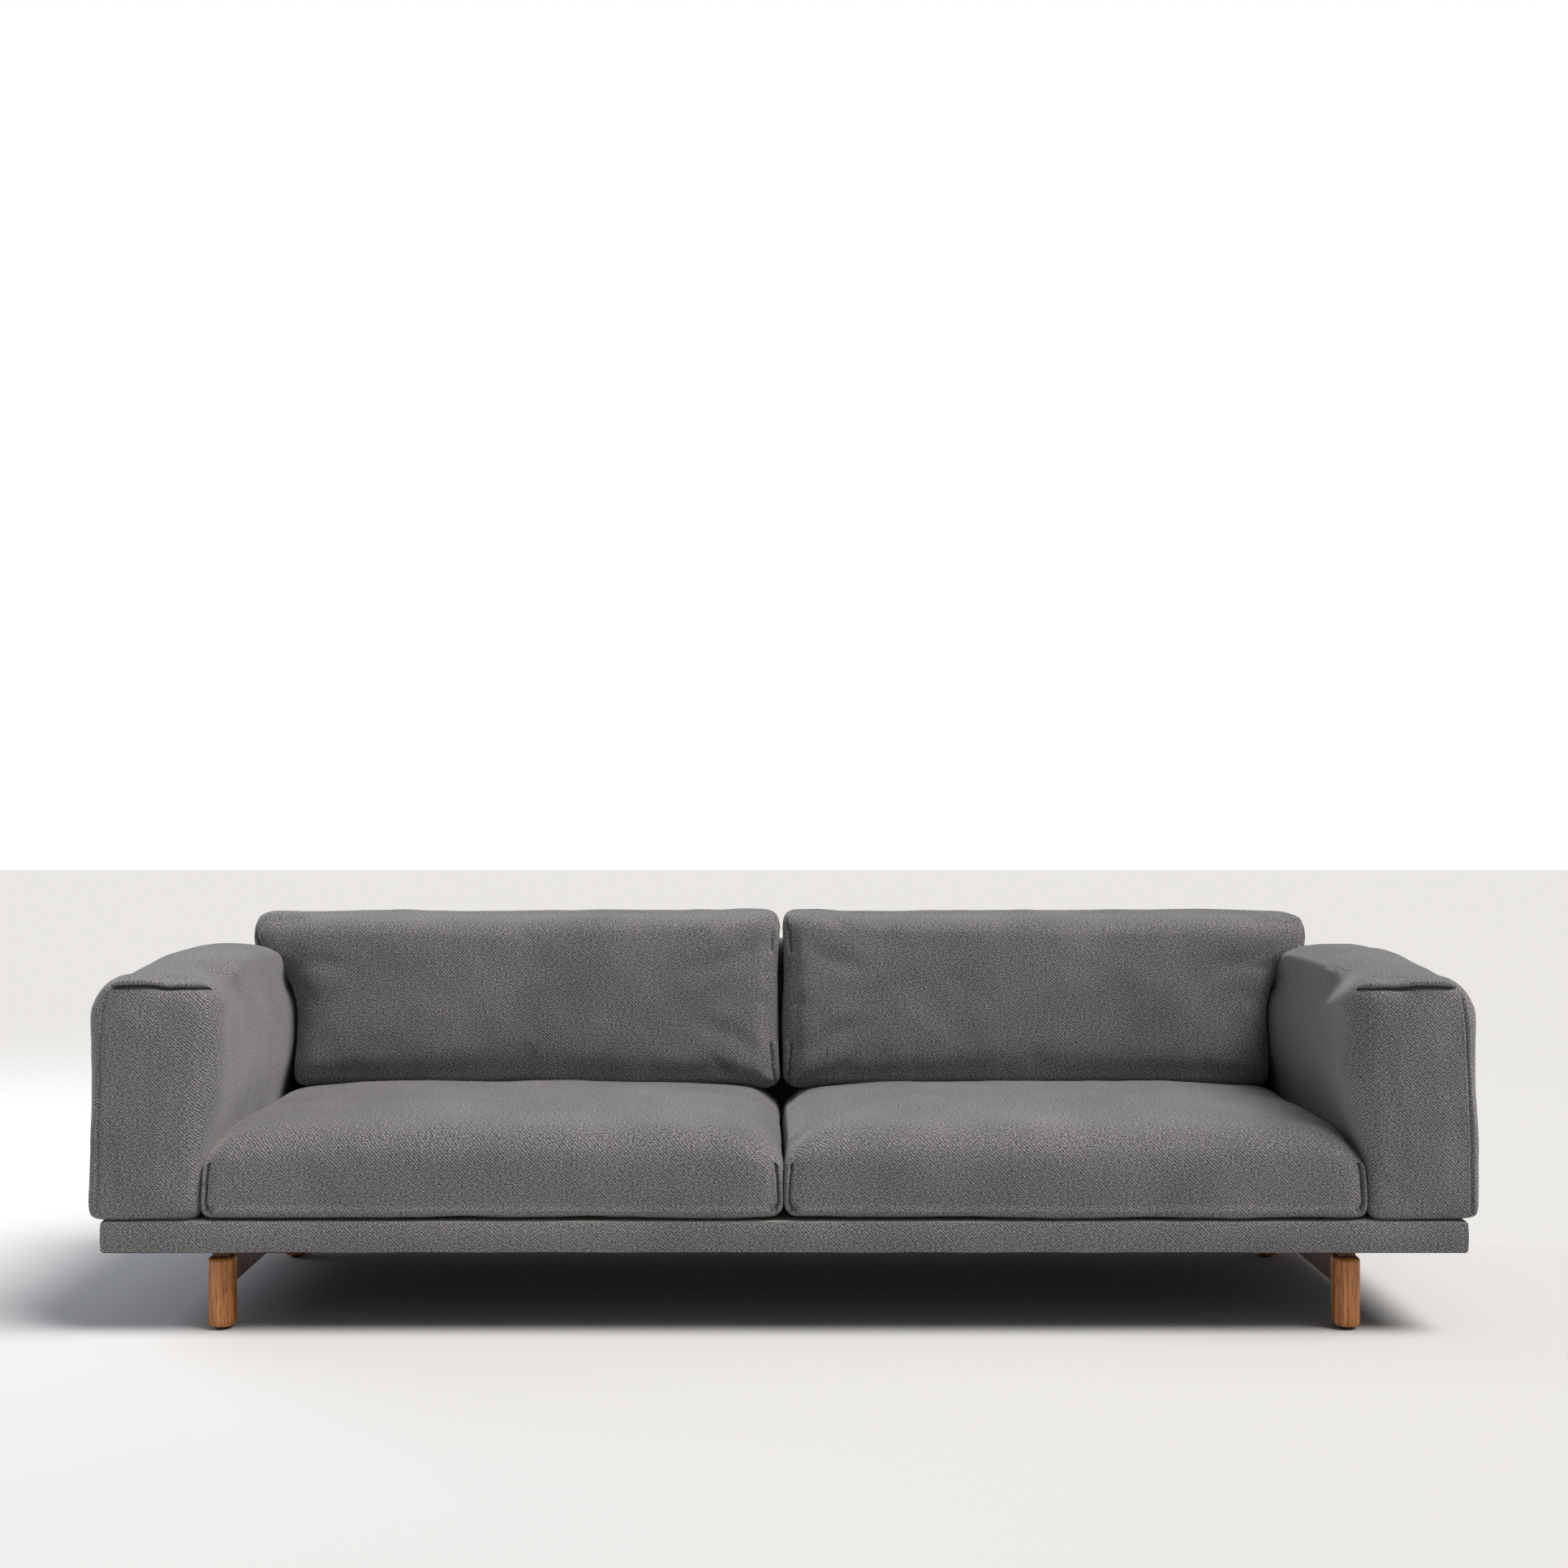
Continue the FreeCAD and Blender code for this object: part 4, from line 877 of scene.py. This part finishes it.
def make_arms():
    """Both padded arms with their topstitching."""
    right, low, high = arm_form("arm_right_padded")
    left = other_side(right, "arm_left_padded")
    for piece, side, sign, seed in ((right, "right", 1, 2.3), (left, "left", -1, 8.8)):
        edge, rear = arm_folds(piece, low, high, sign, seed)
        finish_soft(piece, "sofa_frame", 0.9, f"arm_cover_{side}", f"arm_foam_{side}")
        rows = [beside(edge, -ROW_GAP), beside(edge, ROW_GAP), beside(rear, -ROW_GAP),
                beside(rear, ROW_GAP)]
        thread = stitches(f"arm_topstitching_{side}", piece, rows)
        dress(thread, THREAD)
        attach(thread, "sofa_frame")


make_arms()


# ---------------------------------------------------------------- back and base

def make_back():
    """The upholstered back behind the cushions, leaning in front and upright behind."""
    low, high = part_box("back_cover")
    piece = block("back_padded", low, high, 0.024)
    points = points_of(piece)
    front = 1 - np.clip((points[:, 1] - low[1]) / (high[1] - low[1]), 0, 1)
    points = rounded(points, low, high, (0.012, 0.016, 0.016))
    points[:, 1] += (points[:, 2] - low[2]) * BACK_LEAN * front
    height = np.clip((points[:, 2] - low[2]) / (high[2] - low[2]), 0, 1)
    end = np.abs(points[:, 0]) / high[0]
    # The ends follow the arms: narrower where the arms swell, wider at their round tops.
    arm_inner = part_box("arm_cover_right")[0][0] - 0.001
    narrow = smooth_step(points[:, 2], 0.335, 0.440) * \
        (1 - smooth_step(points[:, 2], 0.600, 0.690))
    limit = high[0] - (high[0] - arm_inner) * narrow
    points[:, 0] = np.where(end > 0.9, np.sign(points[:, 0]) *
                            np.minimum(np.abs(points[:, 0]), limit), points[:, 0])
    points[:, 1] += 0.0025 * np.sin(np.pi * height) * (1 - end ** 6) * (1 - front)
    place_points(piece, points)
    remesh(piece, BACK_VOXEL)
    subdivide(piece)
    soften(piece, 0.25, 0.003, 4.4)
    rear = high[1] + 0.002
    refine(piece, [(-0.001, rear, high[2] - 0.020), (-0.001, rear, low[2] + 0.010)], 0.026)
    seam(piece, [(0, rear, high[2] - 0.012), (0, rear, low[2] + 0.006)], 0.0035, 0.0028,
         ends=0.02, into=(0, -1, 0))
    finish_soft(piece, "sofa_frame", 0.9, "back_cover", "back_foam")
    middle = [(0, rear, high[2] - 0.020), (0, rear, low[2] + 0.012)]
    thread = stitches("back_topstitching", piece, [beside(middle, -ROW_GAP),
                                                   beside(middle, ROW_GAP)])
    dress(thread, THREAD)
    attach(thread, "sofa_frame")


make_back()


def make_base():
    """The slim upholstered plinth under the cushions."""
    low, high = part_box("base_cover")
    low.x -= 0.003
    high.x += 0.003
    piece = block("base_padded", low, high, 0.026)
    points = points_of(piece)
    height = np.clip((points[:, 2] - low[2]) / (high[2] - low[2]), 0, 1)
    corner = np.stack([np.full(len(height), 0.009), np.full(len(height), 0.009),
                       np.where(height > 0.5, 0.009, 0.003)], axis=1)
    points = rounded(points, low, high, corner)
    under = (points[:, 2] < low[2] + 0.0005) & (np.abs(points[:, 1]) < high[1] - 0.02)
    points[under & (np.abs(points[:, 0]) < high[0] - 0.02), 2] += 0.002
    edge = np.abs(points[:, 1]) / high[1]
    swell = 0.0022 * np.sin(np.pi * height) * smooth_step(edge, 0.97, 1.0)
    points[:, 1] += np.sign(points[:, 1]) * swell
    place_points(piece, points)
    pick(piece)
    change = piece.modifiers.new("edges", "BEVEL")
    change.width = 0.002
    change.segments = 2
    change.limit_method = "ANGLE"
    bpy.ops.object.modifier_apply(modifier=change.name)
    subdivide(piece)
    soften(piece, 0.12, 0.0012, 5.5)
    for sign in (-1, 1):
        for x in (-1, 1):
            line = [(x * (high[0] - 0.011), sign * high[1], high[2] - 0.010),
                    (x * (high[0] - 0.011), sign * high[1], low[2] + 0.006)]
            refine(piece, line, 0.020, 2)
            seam(piece, line, 0.002, 0.002, into=(0, -sign, 0))
    shade(piece)
    dress(piece, FABRIC)
    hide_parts("base_cover")
    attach(piece, "sofa_frame")


make_base()


# ---------------------------------------------------------------- floor and light

def make_floor():
    """A plain pale floor: matt painted board, so that it shows soft shadows and no gloss."""
    deselect()
    bpy.ops.mesh.primitive_plane_add(size=60, location=(0, 0, 0))
    floor = bpy.context.object
    floor.name = "studio_floor"
    made, _tree, shader = material("studio_floor_matt")
    shader.inputs["Base Color"].default_value = colour("#DCDCDC")
    shader.inputs["Roughness"].default_value = 1.0
    shader.inputs["Specular IOR Level"].default_value = 0.0
    dress(floor, made)


def lamp(name, place, aim, size, power, tint):
    """A soft square lamp that looks at a point."""
    data = bpy.data.lights.new(name, "AREA")
    data.shape = "SQUARE"
    data.size = size
    data.energy = power
    data.color = colour(tint)[:3]
    obj = bpy.data.objects.new(name, data)
    SCENE.collection.objects.link(obj)
    obj.location = place
    obj.rotation_euler = (Vector(aim) - Vector(place)).to_track_quat("-Z", "Y").to_euler()


def make_light():
    """A pale sky, a broad sun high on the right and a weak lamp behind on the left."""
    world = bpy.data.worlds.new("studio")
    SCENE.world = world
    world.use_nodes = True
    tree = world.node_tree
    sky = tree.nodes["Background"]
    sky.inputs["Color"].default_value = colour("#EEF2F8")
    sky.inputs["Strength"].default_value = 0.20
    seen = node(tree, "ShaderNodeBackground", {}, {"Color": colour("#FFFFFF"), "Strength": 1.0})
    ray = node(tree, "ShaderNodeLightPath")
    both = node(tree, "ShaderNodeMixShader", {0: ray.outputs["Is Camera Ray"],
                                              1: sky.outputs[0], 2: seen.outputs[0]})
    tree.links.new(both.outputs[0], tree.nodes["World Output"].inputs["Surface"])
    data = bpy.data.lights.new("key_sun", "SUN")
    data.energy = 3.5
    data.angle = math.radians(35)
    data.color = colour("#FFFBF6")[:3]
    sun = bpy.data.objects.new("key_sun", data)
    SCENE.collection.objects.link(sun)
    sun.rotation_euler = Vector((0.80, -0.27, 1.5)).to_track_quat("Z", "Y").to_euler()
    lamp("rim_lamp", (-4.0, 1.6, 2.4), (-0.8, 0.0, 0.5), 2.0, 60, "#EEF3FF")
    SCENE.view_settings.view_transform = "Standard"


make_floor()
make_light()
